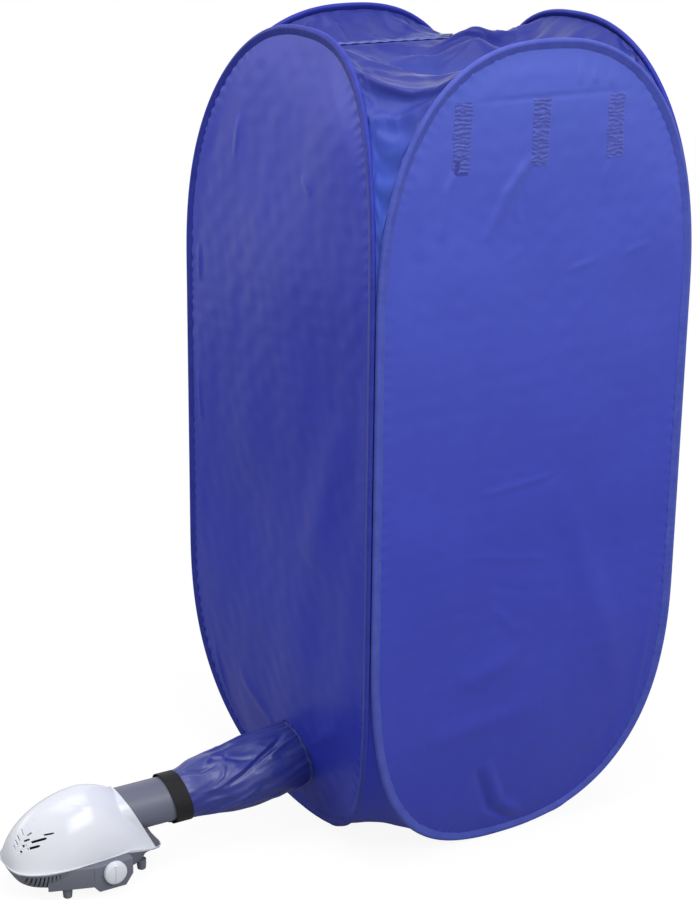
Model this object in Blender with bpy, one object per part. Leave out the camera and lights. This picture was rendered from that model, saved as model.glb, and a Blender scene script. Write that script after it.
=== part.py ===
"""Portable clothes dryer: a pop-up cloth tent that a small fan heater on the floor blows warm.

The tent is four tall oval spring hoops in sleeves, each filled by a cloth panel, with a slack
cover above and a floor cloth below. Metres, +Z up. The front panel, with the air duct, faces -Y.
"""
import math

import bmesh
import bpy
from mathutils import Matrix, Vector

# Clearances, cloth and the one overrun of every cutter
GAP = 0.0003
CORNER_GAP = 0.0005
CLOTH = 0.0008
OVERRUN = 0.010

# The tent
TENT_WIDTH = 0.600
TENT_HEIGHT = 1.334
TOP_ARC_HEIGHT = 0.418
BOTTOM_ARC_HEIGHT = 0.428
TOP_ARC_POWER = 2.44
BOTTOM_ARC_POWER = 2.54
BEND_POWER = 2.4
SIDES = ("front", "right", "back", "left")
TOP_BEND = {"front": 0.052, "right": 0.001, "back": 0.026, "left": 0.029}
BOTTOM_BEND = {"front": 0.058, "right": 0.052, "back": 0.055, "left": 0.055}
ARC_STEPS = 8
SIDE_STEPS = 2

# Hoops, in section
WIRE_RADIUS = 0.0015
WIRE_END_GAP = 0.001
FERRULE_RADIUS = 0.0026
FERRULE_LENGTH = 0.024
SLEEVE_RADIUS = 0.0045
SLEEVE_WALL = 0.0010
SLEEVE_END_GAP = 0.002
PANEL_COLUMNS = 8

# The slack cover, its zip and the floor cloth
COVER_SAG = 0.030
COVER_LIFT = 0.004
SWAG_HEIGHT = 0.010
SWAG_LENGTH = 0.105
SWAG_DROOP = 0.060
HUMP_HEIGHT = 0.022
HUMP_WIDTH = 0.070
HUMP_X = -0.090
HUMP_Y = 0.150
ZIP_X = -0.170
ZIP_Z = 1.281
ZIP_LENGTH = 0.340
ZIP_END_MARGIN = 0.040
ZIP_SIDE_MARGIN = 0.003
ZIP_TAPE_WIDTH = 0.012
ZIP_TAPE = 0.0009
ZIP_TEETH_WIDTH = 0.0024
ZIP_TEETH_HEIGHT = 0.0012
ZIP_REACH = 0.060
SLIT_HALF_WIDTH = 0.005
SLIDER_LENGTH = 0.011
SLIDER_WIDTH = 0.009
SLIDER_WALL = 0.0012
PULL_LENGTH = 0.026
PULL_WIDTH = 0.007
PULL_THICKNESS = 0.0018
FLOOR_LIFT = 0.005

# Rods and the slings that hold them
ROD_RADIUS = 0.004
ROD_WALL = 0.0008
ROD_END_CLEARANCE = 0.004
SLING_PLACES = (-0.150, -0.011, 0.134)
SLING_WIDTH = 0.030
SLING_TOP = 1.247
SLING_BOTTOM = 1.142
WEBBING = 0.0016
LOOP_INNER_WIDTH = 0.028
LOOP_INNER_HEIGHT = 0.018
LOOP_DEPTH = 0.009
LOOP_BOTTOM = 1.172

# The duct from the heater to the front panel
DUCT_HOLE_RADIUS = 0.050
DUCT_RADIUS = 0.0530
DUCT_SEAM_RADIUS = 0.0590
DUCT_NECK_RADIUS = 0.0413
DUCT_NECK_PLEAT = 0.0025
DUCT_SEAM_PLEAT = 0.0030
DUCT_PLEATS = 12
DUCT_RINGS = 9
DUCT_Z = 0.104
STRAP_WIDTH = 0.030
STRAP_THICKNESS = 0.0024
STRAP_TAIL = 0.022
STRAP_SETBACK = 0.0205
STRAP_LEAN = 0.0165
DUCT_NECK_SHARE = 0.2

# The heater's two shells
HEATER_X = 0.025
HEATER_REACH = 0.505
SHELL_HALF_WIDTH = 0.070
SHELL_FRONT = 0.138
SHELL_REAR = 0.108
SHELL_WALL = 0.0024
SHELL_PLAN_POWER = 3.6
SHELL_TAPER = 0.15
SHELL_TAPER_Y = -0.050
CROWN_PLAN_POWER = 1.4
CROWN_BLEND = 0.25
DOME_HEIGHT = 0.104
DOME_POWER_FRONT = 2.5
DOME_POWER_REAR = 1.42
RIM_Z = 0.055
TAIL_LENGTH = 0.014
TAIL_DROP = 0.020
TAIL_HEIGHT = 0.018
TAIL_POWER = 1.2
TAIL_MARGIN = 0.014
BASE_BOTTOM = 0.018
BASE_HALF_WIDTH = 0.062
BASE_FRONT = 0.112
BASE_REAR = 0.098
BASE_POWER_FRONT = 2.05
BASE_POWER_REAR = 3.0
BASE_STEP_Z = 0.030
BASE_STEP_SHARE = 0.45
RIM_INSET = 0.002
PLAN_STEPS = 32
DOME_STEPS = 8

# Air slots of the shells
LOUVRE_HEIGHT = 0.0024
LOUVRE_TILT_DEG = 28
LOUVRE_SPINE_X = 0.014
LOUVRE_ROWS_Z = (0.0855, 0.0945, 0.1020)
LOUVRE_SHORT = (0.007, 0.014)
LOUVRE_LONG = (0.020, 0.031)
LOUVRE_END_Y = -0.066
VENT_COUNT = 9
VENT_WIDTH = 0.0024
VENT_PITCH = 0.0060
VENT_LOW = 0.029
VENT_HIGH = 0.050
VENT_FIRST_Y = -0.118

# Outlet tube, fan and heating element
TUBE_Z = 0.098
TUBE_RADIUS = 0.038
TUBE_WALL = 0.0022
TUBE_START = 0.022
TUBE_END = 0.195
TUBE_SIDES = 28
MOTOR_RADIUS = 0.017
MOTOR_LENGTH = 0.036
MOTOR_FRONT = -0.036
MOTOR_SIDES = 16
SHAFT_RADIUS = 0.0016
IMPELLER_RADIUS = 0.0340
IMPELLER_Y = 0.030
HUB_RADIUS = 0.009
HUB_LENGTH = 0.012
HUB_CAP = 0.002
BLADE_COUNT = 5
BLADE_THICKNESS = 0.0012
BLADE_PITCH_DEG = 32
BLADE_WIDTH = 0.014
BRACKET_THICKNESS = 0.003
BRACKET_WIDTH = 0.048
BRACKET_Y = -0.030
FRAME_Y = 0.062
FRAME_DEPTH = 0.010
FRAME_RIM = 0.004
ELEMENT_WIDTH = 0.040
ELEMENT_HEIGHT = 0.040
ELEMENT_DEPTH = 0.012
ELEMENT_FINS = 6
FIN_THICKNESS = 0.0012
FIN_DEPTH = 0.003
CUTOUT_RADIUS = 0.006
CUTOUT_HEIGHT = 0.005

# Timer, terminal block, cord gland, screws and feet
TIMER_BOX_FACE = 0.080
TIMER_BOX_LOW_Y = -0.018
TIMER_BOX_HIGH_Y = 0.050
TIMER_BOX_BOTTOM = 0.009
TIMER_BOX_DEPTH = 0.026
KNOB_RADIUS = 0.0190
KNOB_THICKNESS = 0.0125
KNOB_RIM_RADIUS = 0.0165
KNOB_RIM_STEP = 0.0020
KNOB_Y = 0.016
KNOB_Z = 0.0400
GRIP_WIDTH = 0.0050
GRIP_HEIGHT = 0.0022
TIMER_SIZE = 0.034
TIMER_DEPTH = 0.020
TIMER_SETBACK = 0.003
TIMER_SHAFT_RADIUS = 0.003
TERMINAL_SIZE = (0.026, 0.014, 0.010)
TERMINAL_PLACE = (-0.030, 0.030)
GLAND_RADIUS = 0.0055
GLAND_BORE = 0.0035
GLAND_LENGTH = 0.014
GLAND_FLANGE = 0.0080
GLAND_FLANGE_THICKNESS = 0.002
GLAND_Y = 0.002
GLAND_Z = 0.044
SCREW_PLACES = ((-0.040, -0.060), (0.040, -0.060), (-0.044, 0.045), (0.044, 0.045))
SCREW_RADIUS = 0.0015
SCREW_HEAD_RADIUS = 0.0029
SCREW_HEAD_HEIGHT = 0.0018
SCREW_LENGTH = 0.014
BOSS_RADIUS = 0.0036
FOOT_PLACES = {
    "front_left": (-0.052, -0.053),
    "front_right": (0.052, -0.053),
    "rear_left": (-0.029, 0.088),
    "rear_right": (0.029, 0.088),
}
FOOT_RADIUS = 0.0078
FOOT_SOLE_RADIUS = 0.0068
FOOT_STUD_RADIUS = 0.0026
FOOT_STUD_LENGTH = 0.0055

# What follows from the sizes above
HALF = TENT_WIDTH / 2
CORNER_INSET = (2 * SLEEVE_RADIUS + CORNER_GAP) / math.sqrt(2)
HOOP_HALF_WIDTH = HALF - CORNER_INSET
PIVOT = HALF - CORNER_INSET / 2
APEX_Z = TENT_HEIGHT - SLEEVE_RADIUS
TOP_START_Z = APEX_Z - TOP_ARC_HEIGHT
BOTTOM_START_Z = SLEEVE_RADIUS + BOTTOM_ARC_HEIGHT
SHEET_INSET = SLEEVE_RADIUS + CLOTH / 2 + GAP
TENT_Y = (HEATER_REACH - SLEEVE_RADIUS) / 2
HEATER_Y = TENT_Y - HALF - HEATER_REACH + SHELL_FRONT
TENT_CENTRE = Vector((0, TENT_Y, 0))
HEATER_ORIGIN = Vector((HEATER_X, HEATER_Y, 0))
ORIGIN = Vector((0, 0, 0))
ROD_Z = LOOP_BOTTOM + ROD_RADIUS + GAP
BASE_LEVELS = ((0, RIM_Z - GAP), (BASE_STEP_SHARE, BASE_STEP_Z), (1, BASE_BOTTOM))


def clear_scene():
    for item in list(bpy.data.objects):
        bpy.data.objects.remove(item, do_unlink=True)


def material(name, colour, roughness, metallic=0.0):
    """A Principled material of that name, made once."""
    found = bpy.data.materials.get(name)
    if found:
        return found
    made = bpy.data.materials.new(name)
    made.use_nodes = True
    shader = made.node_tree.nodes["Principled BSDF"]
    shader.inputs["Base Color"].default_value = (*colour, 1.0)
    shader.inputs["Roughness"].default_value = roughness
    shader.inputs["Metallic"].default_value = metallic
    made.diffuse_color = (*colour, 1.0)
    return made


def blue_cloth():
    return material("blue_cloth", (0.055, 0.07, 0.42), 0.45)


def blue_binding():
    return material("blue_binding", (0.045, 0.055, 0.34), 0.5)


def spring_steel():
    return material("spring_steel", (0.55, 0.55, 0.56), 0.3, 1.0)


def white_plastic():
    return material("white_plastic", (0.86, 0.87, 0.9), 0.25)


def grey_plastic():
    return material("grey_plastic", (0.19, 0.20, 0.24), 0.45)


def dark_rubber():
    return material("dark_rubber", (0.06, 0.06, 0.07), 0.7)


def empty_at(name, place, parent=None):
    """An empty that carries the pieces of one moving body, on its joint's axis."""
    made = bpy.data.objects.new(name, None)
    bpy.context.scene.collection.objects.link(made)
    made.parent = parent
    made.location = place - (world_place(parent) if parent else ORIGIN)
    return made


def world_place(item):
    place = item.location.copy()
    while item.parent:
        item = item.parent
        place += item.location
    return place


def add(name, shape, finish, body, shift=ORIGIN):
    """Make an object of a bmesh whose points are in world places less the shift."""
    bmesh.ops.recalc_face_normals(shape, faces=shape.faces)
    mesh = bpy.data.meshes.new(name)
    shape.to_mesh(mesh)
    shape.free()
    made = bpy.data.objects.new(name, mesh)
    bpy.context.scene.collection.objects.link(made)
    mesh.transform(Matrix.Translation(shift - world_place(body)))
    made.parent = body
    if finish:
        mesh.materials.append(finish)
    mesh.shade_smooth()
    mesh.set_sharp_from_angle(angle=math.radians(40))
    return made


def cutter(name, shape, body, shift=ORIGIN):
    """A guide for a Boolean, which isn't part of the object."""
    made = add(name, shape, None, body, shift)
    made.hide_render = True
    made.display_type = "WIRE"
    return made


def boolean(target, tool, operation):
    modifier = target.modifiers.new(operation.lower() + "_" + tool.name, "BOOLEAN")
    modifier.operation = operation
    modifier.solver = "EXACT"
    modifier.object = tool
    return modifier


def thicken(target, thickness, offset=0.0):
    modifier = target.modifiers.new("thickness", "SOLIDIFY")
    modifier.thickness = thickness
    modifier.offset = offset
    return modifier


def box(shape, low, high):
    """Add a box between two corners and return its vertices."""
    size = Vector(high) - Vector(low)
    middle = (Vector(high) + Vector(low)) / 2
    place = Matrix.Translation(middle) @ Matrix.Diagonal((*size, 1))
    return bmesh.ops.create_cube(shape, size=1, matrix=place)["verts"]


def turned(shape, profile, sides, frame, closed=False):
    """Turn a profile of (radius, height) about the Z axis of a frame, and cap its ends."""
    rings = []
    for radius, height in profile:
        if radius == 0:
            rings.append([shape.verts.new(frame @ Vector((0, 0, height)))])
            continue
        ring = []
        for step in range(sides):
            angle = 2 * math.pi * step / sides
            point = Vector((radius * math.cos(angle), radius * math.sin(angle), height))
            ring.append(shape.verts.new(frame @ point))
        rings.append(ring)
    pairs = list(zip(rings, rings[1:] + rings[:1])) if closed else list(zip(rings, rings[1:]))
    for lower, upper in pairs:
        if len(lower) > 1 or len(upper) > 1:
            join_rings(shape, lower, upper)
    if not closed:
        for ring in (rings[0], rings[-1]):
            if len(ring) > 1:
                shape.faces.new(ring)
    return rings


def join_rings(shape, lower, upper, wrap=True):
    """Faces between two rows of points; a row of one point closes to a fan."""
    count = max(len(lower), len(upper))
    for step in range(count if wrap else count - 1):
        after = (step + 1) % count
        corners = [lower[step % len(lower)], lower[after % len(lower)]]
        corners += [upper[after % len(upper)], upper[step % len(upper)]]
        shape.faces.new(list(dict.fromkeys(corners)))


def frame_along(place, direction):
    """A frame at a place whose Z axis points along a direction."""
    turn = Vector(direction).to_track_quat("Z", "Y").to_matrix().to_4x4()
    return Matrix.Translation(place) @ turn


def swept(shape, points, across, radius, sides, closed):
    """A tube's surface along points; across is a direction that stays beside the path."""
    rings = []
    count = len(points)
    for index, point in enumerate(points):
        before = points[index - 1] if index or closed else point
        after = points[(index + 1) % count] if index < count - 1 or closed else point
        along = (after - before).normalized()
        first = across.cross(along).normalized()
        second = along.cross(first)
        ring = []
        for step in range(sides):
            angle = 2 * math.pi * step / sides
            offset = first * math.cos(angle) + second * math.sin(angle)
            ring.append(shape.verts.new(point + offset * radius))
        rings.append(ring)
    for index in range(count if closed else count - 1):
        join_rings(shape, rings[index], rings[(index + 1) % count])
    return rings


def arc_share(step, power):
    """Shares (across, up) of a superellipse quarter: step 0 is its tip and ARC_STEPS its side."""
    angle = math.pi / 2 * step / ARC_STEPS
    if step == 0:
        return 0.0, 1.0
    if step == ARC_STEPS:
        return 1.0, 0.0
    return math.sin(angle) ** (2 / power), math.cos(angle) ** (2 / power)


def bend(side, z):
    """How far a hoop leans into the tent at a height."""
    if z > TOP_START_Z:
        share = min((z - TOP_START_Z) / TOP_ARC_HEIGHT, 1.0)
        return TOP_BEND[side] * share**BEND_POWER
    if z < BOTTOM_START_Z:
        share = min((BOTTOM_START_Z - z) / BOTTOM_ARC_HEIGHT, 1.0)
        return BOTTOM_BEND[side] * share**BEND_POWER
    return 0.0


def right_half_outline():
    """The hoop's centre line from its lowest point up its right side to its apex, as (s, z)."""
    outline = []
    for step in range(ARC_STEPS + 1):
        across, up = arc_share(step, BOTTOM_ARC_POWER)
        outline.append((HOOP_HALF_WIDTH * across, BOTTOM_START_Z - BOTTOM_ARC_HEIGHT * up))
    for step in range(1, SIDE_STEPS):
        share = step / SIDE_STEPS
        z = BOTTOM_START_Z + (TOP_START_Z - BOTTOM_START_Z) * share
        outline.append((HOOP_HALF_WIDTH, z))
    for step in range(ARC_STEPS, -1, -1):
        across, up = arc_share(step, TOP_ARC_POWER)
        outline.append((HOOP_HALF_WIDTH * across, TOP_START_Z + TOP_ARC_HEIGHT * up))
    return outline


def hoop_outline():
    """The whole centre line, round the hoop once from its lowest point."""
    half = right_half_outline()
    return half + [(-s, z) for s, z in half[-2:0:-1]]


def inset_half_outline(distance):
    """The right half of the outline moved inwards, point by point, square to the centre line."""
    whole = hoop_outline()
    moved = []
    for index in range(len(right_half_outline())):
        s, z = whole[index]
        s_before, z_before = whole[index - 1]
        s_after, z_after = whole[(index + 1) % len(whole)]
        along = Vector((s_after - s_before, z_after - z_before)).normalized()
        moved.append((s - along.y * distance, z + along.x * distance))
    return moved


def side_turn(side):
    """The turn that carries the front side to another side of the tent."""
    turn = Matrix.Rotation(math.pi / 2 * SIDES.index(side), 4, "Z")
    return Matrix.Translation(TENT_CENTRE) @ turn


def side_point(side, s, depth, z):
    """A point on a side: s along it, depth into the tent from its leaning cloth."""
    return side_turn(side) @ Vector((s, -HALF + bend(side, z) + depth, z))


def hoop_points(side):
    return [side_point(side, s, 0, z) for s, z in hoop_outline()]


def opened(points, segment, gap):
    """The closed path cut in the middle of a segment, with a gap between its two ends."""
    count = len(points)
    before = points[segment]
    after = points[(segment + 1) % count]
    middle = (before + after) / 2
    half_gap = (after - before).normalized() * gap / 2
    round_path = [points[(segment + 1 + step) % count] for step in range(count)]
    return [middle + half_gap] + round_path + [middle - half_gap]


def outward(side):
    return side_turn(side).to_3x3() @ Vector((0, -1, 0))


def hoop_wire(side, body):
    shape = bmesh.new()
    path = opened(hoop_points(side), 1, WIRE_END_GAP)
    rings = swept(shape, path, outward(side), WIRE_RADIUS, 6, False)
    for ring in (rings[0], rings[-1]):
        shape.faces.new(ring)
    return add("hoop_wire_" + side, shape, spring_steel(), body)


def hoop_ferrule(side, body):
    """The crimped tube that holds the two ends of the wire."""
    points = hoop_points(side)
    middle = (points[1] + points[2]) / 2
    frame = frame_along(middle, points[2] - points[1])
    bore = WIRE_RADIUS + GAP
    half = FERRULE_LENGTH / 2
    profile = [(bore, -half), (FERRULE_RADIUS, -half), (FERRULE_RADIUS, half), (bore, half)]
    shape = bmesh.new()
    turned(shape, profile, 8, frame, closed=True)
    return add("hoop_ferrule_" + side, shape, spring_steel(), body)


def hoop_sleeve(side, body):
    """The bound edge: a cloth tube round the wire, its two ends nearly meeting."""
    shape = bmesh.new()
    count = len(hoop_points(side))
    path = opened(hoop_points(side), count - 3, SLEEVE_END_GAP)
    outer = swept(shape, path, outward(side), SLEEVE_RADIUS, 8, False)
    inner = swept(shape, path, outward(side), SLEEVE_RADIUS - SLEEVE_WALL, 8, False)
    for end in (0, -1):
        join_rings(shape, outer[end], inner[end])
    return add("hoop_sleeve_" + side, shape, blue_binding(), body)


def panel(side, body):
    """The cloth of one side, filling its hoop."""
    edge = inset_half_outline(SLEEVE_RADIUS + GAP)
    shape = bmesh.new()
    rows = []
    for index, (s, z) in enumerate(edge):
        if index in (0, len(edge) - 1):
            rows.append([shape.verts.new(side_point(side, 0, 0, z))])
            continue
        row = []
        for column in range(PANEL_COLUMNS + 1):
            across = s * (2 * column / PANEL_COLUMNS - 1)
            row.append(shape.verts.new(side_point(side, across, 0, z)))
        rows.append(row)
    for lower, upper in zip(rows, rows[1:]):
        join_rows(shape, lower, upper)
    made = add("panel_" + side, shape, blue_cloth(), body)
    thicken(made, CLOTH)
    return made


def join_rows(shape, lower, upper):
    """Faces between two open rows of points, either of which may be a single point."""
    for step in range(max(len(lower), len(upper)) - 1):
        corners = [lower[min(step, len(lower) - 1)], lower[min(step + 1, len(lower) - 1)]]
        corners += [upper[min(step + 1, len(upper) - 1)], upper[min(step, len(upper) - 1)]]
        shape.faces.new(list(dict.fromkeys(corners)))


def level(xi, eta, power):
    """Share of the arc's height at a place of the cover: 1 in the middle, 0 at the corners."""
    return max(1 - abs(xi * eta) ** power, 0.0) ** (1 / power)


def lean_in(xi, eta, table):
    """How far the leaning hoops carry a place of the cover inwards, as (x, y)."""
    reach = HALF - SHEET_INSET
    rise_x = level(1, xi, TOP_ARC_POWER) ** BEND_POWER
    rise_y = level(1, eta, TOP_ARC_POWER) ** BEND_POWER
    x = xi * reach
    x += table["left"] * rise_y * (1 - xi) / 2 - table["right"] * rise_y * (1 + xi) / 2
    y = eta * reach
    y += table["front"] * rise_x * (1 - eta) / 2 - table["back"] * rise_x * (1 + eta) / 2
    return x, y


def cover_point(xi, eta):
    """A place of the slack cover, from its shares xi and eta of the way to the hoops."""
    x, y = lean_in(xi, eta, TOP_BEND)
    inside = (1 - xi**2) * (1 - eta**2)
    z = TOP_START_Z + TOP_ARC_HEIGHT * level(xi, eta, TOP_ARC_POWER) - COVER_SAG * inside
    towards_corner = (x - y) / math.sqrt(2)
    aside = (x + y) / math.sqrt(2)
    phase = (towards_corner + aside**2 / SWAG_DROOP * 0.25) / SWAG_LENGTH
    z += SWAG_HEIGHT * inside * math.sin(2 * math.pi * phase)
    away = math.hypot(x - HUMP_X, y - HUMP_Y)
    z += HUMP_HEIGHT * inside * math.exp(-((away / HUMP_WIDTH) ** 2))
    aside_zip = abs(x - ZIP_X) - ZIP_TAPE_WIDTH - ZIP_SIDE_MARGIN
    beyond_zip = abs(y) - ZIP_LENGTH / 2 - ZIP_END_MARGIN
    held = (1 - smooth_step(aside_zip / ZIP_REACH)) * (1 - smooth_step(beyond_zip / ZIP_REACH))
    return TENT_CENTRE + Vector((x, y, z * (1 - held) + ZIP_Z * held))


def smooth_step(value):
    value = min(max(value, 0.0), 1.0)
    return value * value * (3 - 2 * value)


def arc_places(power):
    """Shares from -1 to 1 at which the hoops' arcs have their points."""
    half = [arc_share(step, power)[0] for step in range(1, ARC_STEPS + 1)]
    return [-share for share in reversed(half)] + [0.0] + half


def share_at(x, eta):
    """The share xi at which the cover has a given x."""
    rise = level(1, eta, TOP_ARC_POWER) ** BEND_POWER
    left = TOP_BEND["left"] * rise / 2
    right = TOP_BEND["right"] * rise / 2
    return (x - left + right) / (HALF - SHEET_INSET - left - right)


def beside_zip(hand, eta):
    """Shares of the two columns that edge the slit on one side: its edge, and clear of the tape."""
    y = lean_in(ZIP_X / HALF, eta, TOP_BEND)[1]
    narrow = smooth_step((abs(y) - ZIP_LENGTH / 2) / ZIP_END_MARGIN * 2)
    edge = SLIT_HALF_WIDTH * (1 - narrow) + GAP * narrow
    clear = ZIP_TAPE_WIDTH + ZIP_SIDE_MARGIN
    return share_at(ZIP_X + hand * edge, eta), share_at(ZIP_X + hand * clear, eta)


def cover_part(name, hand, body):
    """The cover's cloth on one side of the zip."""
    places = arc_places(TOP_ARC_POWER)
    clear = (ZIP_X + 2 * hand * (ZIP_TAPE_WIDTH + ZIP_SIDE_MARGIN)) / (HALF - SHEET_INSET)
    others = [xi for xi in places if (xi - clear) * hand > 0]
    shape = bmesh.new()
    rows = []
    for eta in places:
        columns = sorted([*others, *beside_zip(hand, eta)])
        rows.append([shape.verts.new(cover_point(xi, eta)) for xi in columns])
    for lower, upper in zip(rows, rows[1:]):
        join_rows(shape, lower, upper)
    made = add(name, shape, blue_cloth(), body)
    thicken(made, CLOTH)
    return made


def floor_cloth(body):
    reach = HALF - SHEET_INSET
    shape = bmesh.new()
    rows = []
    places = arc_places(BOTTOM_ARC_POWER)
    for eta in places:
        row = []
        for xi in places:
            rise_x = level(1, xi, BOTTOM_ARC_POWER) ** BEND_POWER
            rise_y = level(1, eta, BOTTOM_ARC_POWER) ** BEND_POWER
            x = xi * reach + BOTTOM_BEND["left"] * rise_y * (1 - xi) / 2
            x -= BOTTOM_BEND["right"] * rise_y * (1 + xi) / 2
            y = eta * reach + BOTTOM_BEND["front"] * rise_x * (1 - eta) / 2
            y -= BOTTOM_BEND["back"] * rise_x * (1 + eta) / 2
            z = BOTTOM_START_Z - BOTTOM_ARC_HEIGHT * level(xi, eta, BOTTOM_ARC_POWER)
            z += FLOOR_LIFT * (1 - xi**2) * (1 - eta**2)
            row.append(shape.verts.new(TENT_CENTRE + Vector((x, y, z))))
        rows.append(row)
    for lower, upper in zip(rows, rows[1:]):
        join_rows(shape, lower, upper)
    made = add("floor_cloth", shape, blue_cloth(), body)
    thicken(made, CLOTH)
    return made


def zip_top():
    """Height of the tape's upper face, just under the cover's edges."""
    return ZIP_Z - CLOTH / 2 - GAP


def zip_tape(name, hand, body):
    """One tape of the closed zip with its half of the teeth; hand is -1 or 1."""
    near = hand * GAP / 2
    tooth = hand * (GAP / 2 + ZIP_TEETH_WIDTH)
    far = hand * ZIP_TAPE_WIDTH
    top = zip_top()
    outline = [(near, top - ZIP_TAPE), (far, top - ZIP_TAPE), (far, top), (tooth, top)]
    outline += [(tooth, top + ZIP_TEETH_HEIGHT), (near, top + ZIP_TEETH_HEIGHT)]
    shape = bmesh.new()
    ends = []
    for y in (-ZIP_LENGTH / 2, ZIP_LENGTH / 2):
        ends.append([shape.verts.new(TENT_CENTRE + Vector((ZIP_X + x, y, z))) for x, z in outline])
    join_rings(shape, ends[0], ends[1])
    for end in ends:
        shape.faces.new(end)
    return add(name, shape, blue_binding(), body)


def slider_place():
    """The slider's middle, closed, at the far end of the zip."""
    y = ZIP_LENGTH / 2 - 2 * SLIDER_LENGTH
    return TENT_CENTRE + Vector((ZIP_X, y, zip_top()))


def zip_slider(body):
    """A saddle that straddles the teeth, with a bridge that the pull hangs on."""
    half_x = SLIDER_WIDTH / 2
    half_y = SLIDER_LENGTH / 2
    teeth_x = GAP / 2 + ZIP_TEETH_WIDTH + GAP
    teeth_top = ZIP_TEETH_HEIGHT + GAP
    inner = min(teeth_x, half_x - SLIDER_WALL)
    roof = teeth_top + SLIDER_WALL
    outline = [(-half_x, GAP), (-half_x, roof), (half_x, roof), (half_x, GAP)]
    outline += [(inner, GAP), (inner, teeth_top), (-inner, teeth_top), (-inner, GAP)]
    shape = bmesh.new()
    ends = []
    for y in (-half_y, half_y):
        ends.append([shape.verts.new(slider_place() + Vector((x, y, z))) for x, z in outline])
    join_rings(shape, ends[0], ends[1])
    for end in ends:
        shape.faces.new(end)
    return add("zip_slider", shape, spring_steel(), body)


def pull_hinge():
    roof = ZIP_TEETH_HEIGHT + GAP + SLIDER_WALL
    lift = 2 * GAP + PULL_THICKNESS / 2
    return slider_place() + Vector((0, -SLIDER_LENGTH / 2 + PULL_THICKNESS, roof + lift))


def zip_pull(body):
    """The flat tab, lying forward along the zip."""
    hinge = pull_hinge()
    half = PULL_THICKNESS / 2
    low = hinge + Vector((-PULL_WIDTH / 2, -PULL_LENGTH, -half))
    high = hinge + Vector((PULL_WIDTH / 2, half, half))
    shape = bmesh.new()
    box(shape, low, high)
    edges = [edge for edge in shape.edges if abs((edge.verts[0].co - edge.verts[1].co).z) > half]
    bmesh.ops.bevel(
        shape, geom=edges, offset=PULL_WIDTH / 4, segments=2, profile=0.5, affect="EDGES", material=-1
    )
    return add("zip_pull", shape, spring_steel(), body)


def sling_depth():
    """From the middle of a panel's cloth to the loop's near face and its far face."""
    near = CLOTH / 2 + GAP
    return near, near + WEBBING + LOOP_DEPTH


def rod_sling(side, number, s, body):
    """A webbing strip sewn inside a panel, with the loop that a rod's end lies in."""
    name = f"rod_sling_{side}_{number}"
    near, far = sling_depth()
    shape = bmesh.new()
    rings = []
    for step in range(5):
        z = SLING_BOTTOM + (SLING_TOP - SLING_BOTTOM) * step / 4
        corners = [(-1, near), (1, near), (1, near + WEBBING), (-1, near + WEBBING)]
        ring = []
        for hand, depth in corners:
            ring.append(shape.verts.new(side_point(side, s + hand * SLING_WIDTH / 2, depth, z)))
        rings.append(ring)
    for lower, upper in zip(rings, rings[1:]):
        join_rings(shape, lower, upper)
    for ring in (rings[0], rings[-1]):
        shape.faces.new(ring)
    made = add(name, shape, blue_binding(), body)
    boolean(made, cutter(name + "_loop", loop_shape(side, s, near, far), body), "UNION")
    return made


def loop_shape(side, s, near, far):
    """The loop: a flat oblong ring that stands off the webbing."""
    outer = loop_outline(s, WEBBING)
    inner = loop_outline(s, 0)
    lean = bend(side, LOOP_BOTTOM + LOOP_INNER_HEIGHT)
    turn = side_turn(side)
    shape = bmesh.new()
    rows = []
    for depth in (near + WEBBING / 2, far):
        row = []
        for outline in (outer, inner):
            points = [turn @ Vector((across, -HALF + lean + depth, z)) for across, z in outline]
            row.append([shape.verts.new(point) for point in points])
        rows.append(row)
    join_rings(shape, rows[0][0], rows[1][0])
    join_rings(shape, rows[0][1], rows[1][1])
    for row in rows:
        join_rings(shape, row[0], row[1])
    return shape


def loop_outline(s, grow):
    half = LOOP_INNER_WIDTH / 2 + grow
    low = LOOP_BOTTOM - grow
    high = LOOP_BOTTOM + LOOP_INNER_HEIGHT + grow
    chamfer = LOOP_INNER_WIDTH / 10
    outline = [(s - half + chamfer, low), (s + half - chamfer, low), (s + half, low + chamfer)]
    outline += [(s + half, high - chamfer), (s + half - chamfer, high)]
    outline += [(s - half + chamfer, high), (s - half, high - chamfer), (s - half, low + chamfer)]
    return outline


def loop_far_place(side):
    """How far into the tent a loop's far face lies from its hoop's plane."""
    return bend(side, LOOP_BOTTOM + LOOP_INNER_HEIGHT) + sling_depth()[1]


def rod_span():
    """The x of a rod's two ends."""
    web = CLOTH / 2 + GAP + WEBBING
    left_lean = bend("left", ROD_Z + ROD_RADIUS)
    right_lean = bend("right", ROD_Z + ROD_RADIUS)
    left = -HALF + left_lean + web + ROD_END_CLEARANCE
    right = HALF - right_lean - web - ROD_END_CLEARANCE
    return left, right


def rod_axis_x():
    """The rods turn about lines that keep them equally clear of the loops on both sides."""
    return HALF + (loop_far_place("left") - loop_far_place("right")) / 2 - CORNER_INSET / 2


def hanging_rod(number, y, body):
    left, right = rod_span()
    frame = frame_along(TENT_CENTRE + Vector((left, y, ROD_Z)), (1, 0, 0))
    bore = ROD_RADIUS - ROD_WALL
    length = right - left
    profile = [(bore, 0), (ROD_RADIUS, 0), (ROD_RADIUS, length), (bore, length)]
    shape = bmesh.new()
    turned(shape, profile, 10, frame, closed=True)
    return add(f"hanging_rod_{number}", shape, spring_steel(), body)


def duct_front_y(z):
    """Where the duct's cloth meets the outer face of the front panel."""
    return TENT_Y - HALF + bend("front", z) - CLOTH / 2 - GAP


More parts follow.
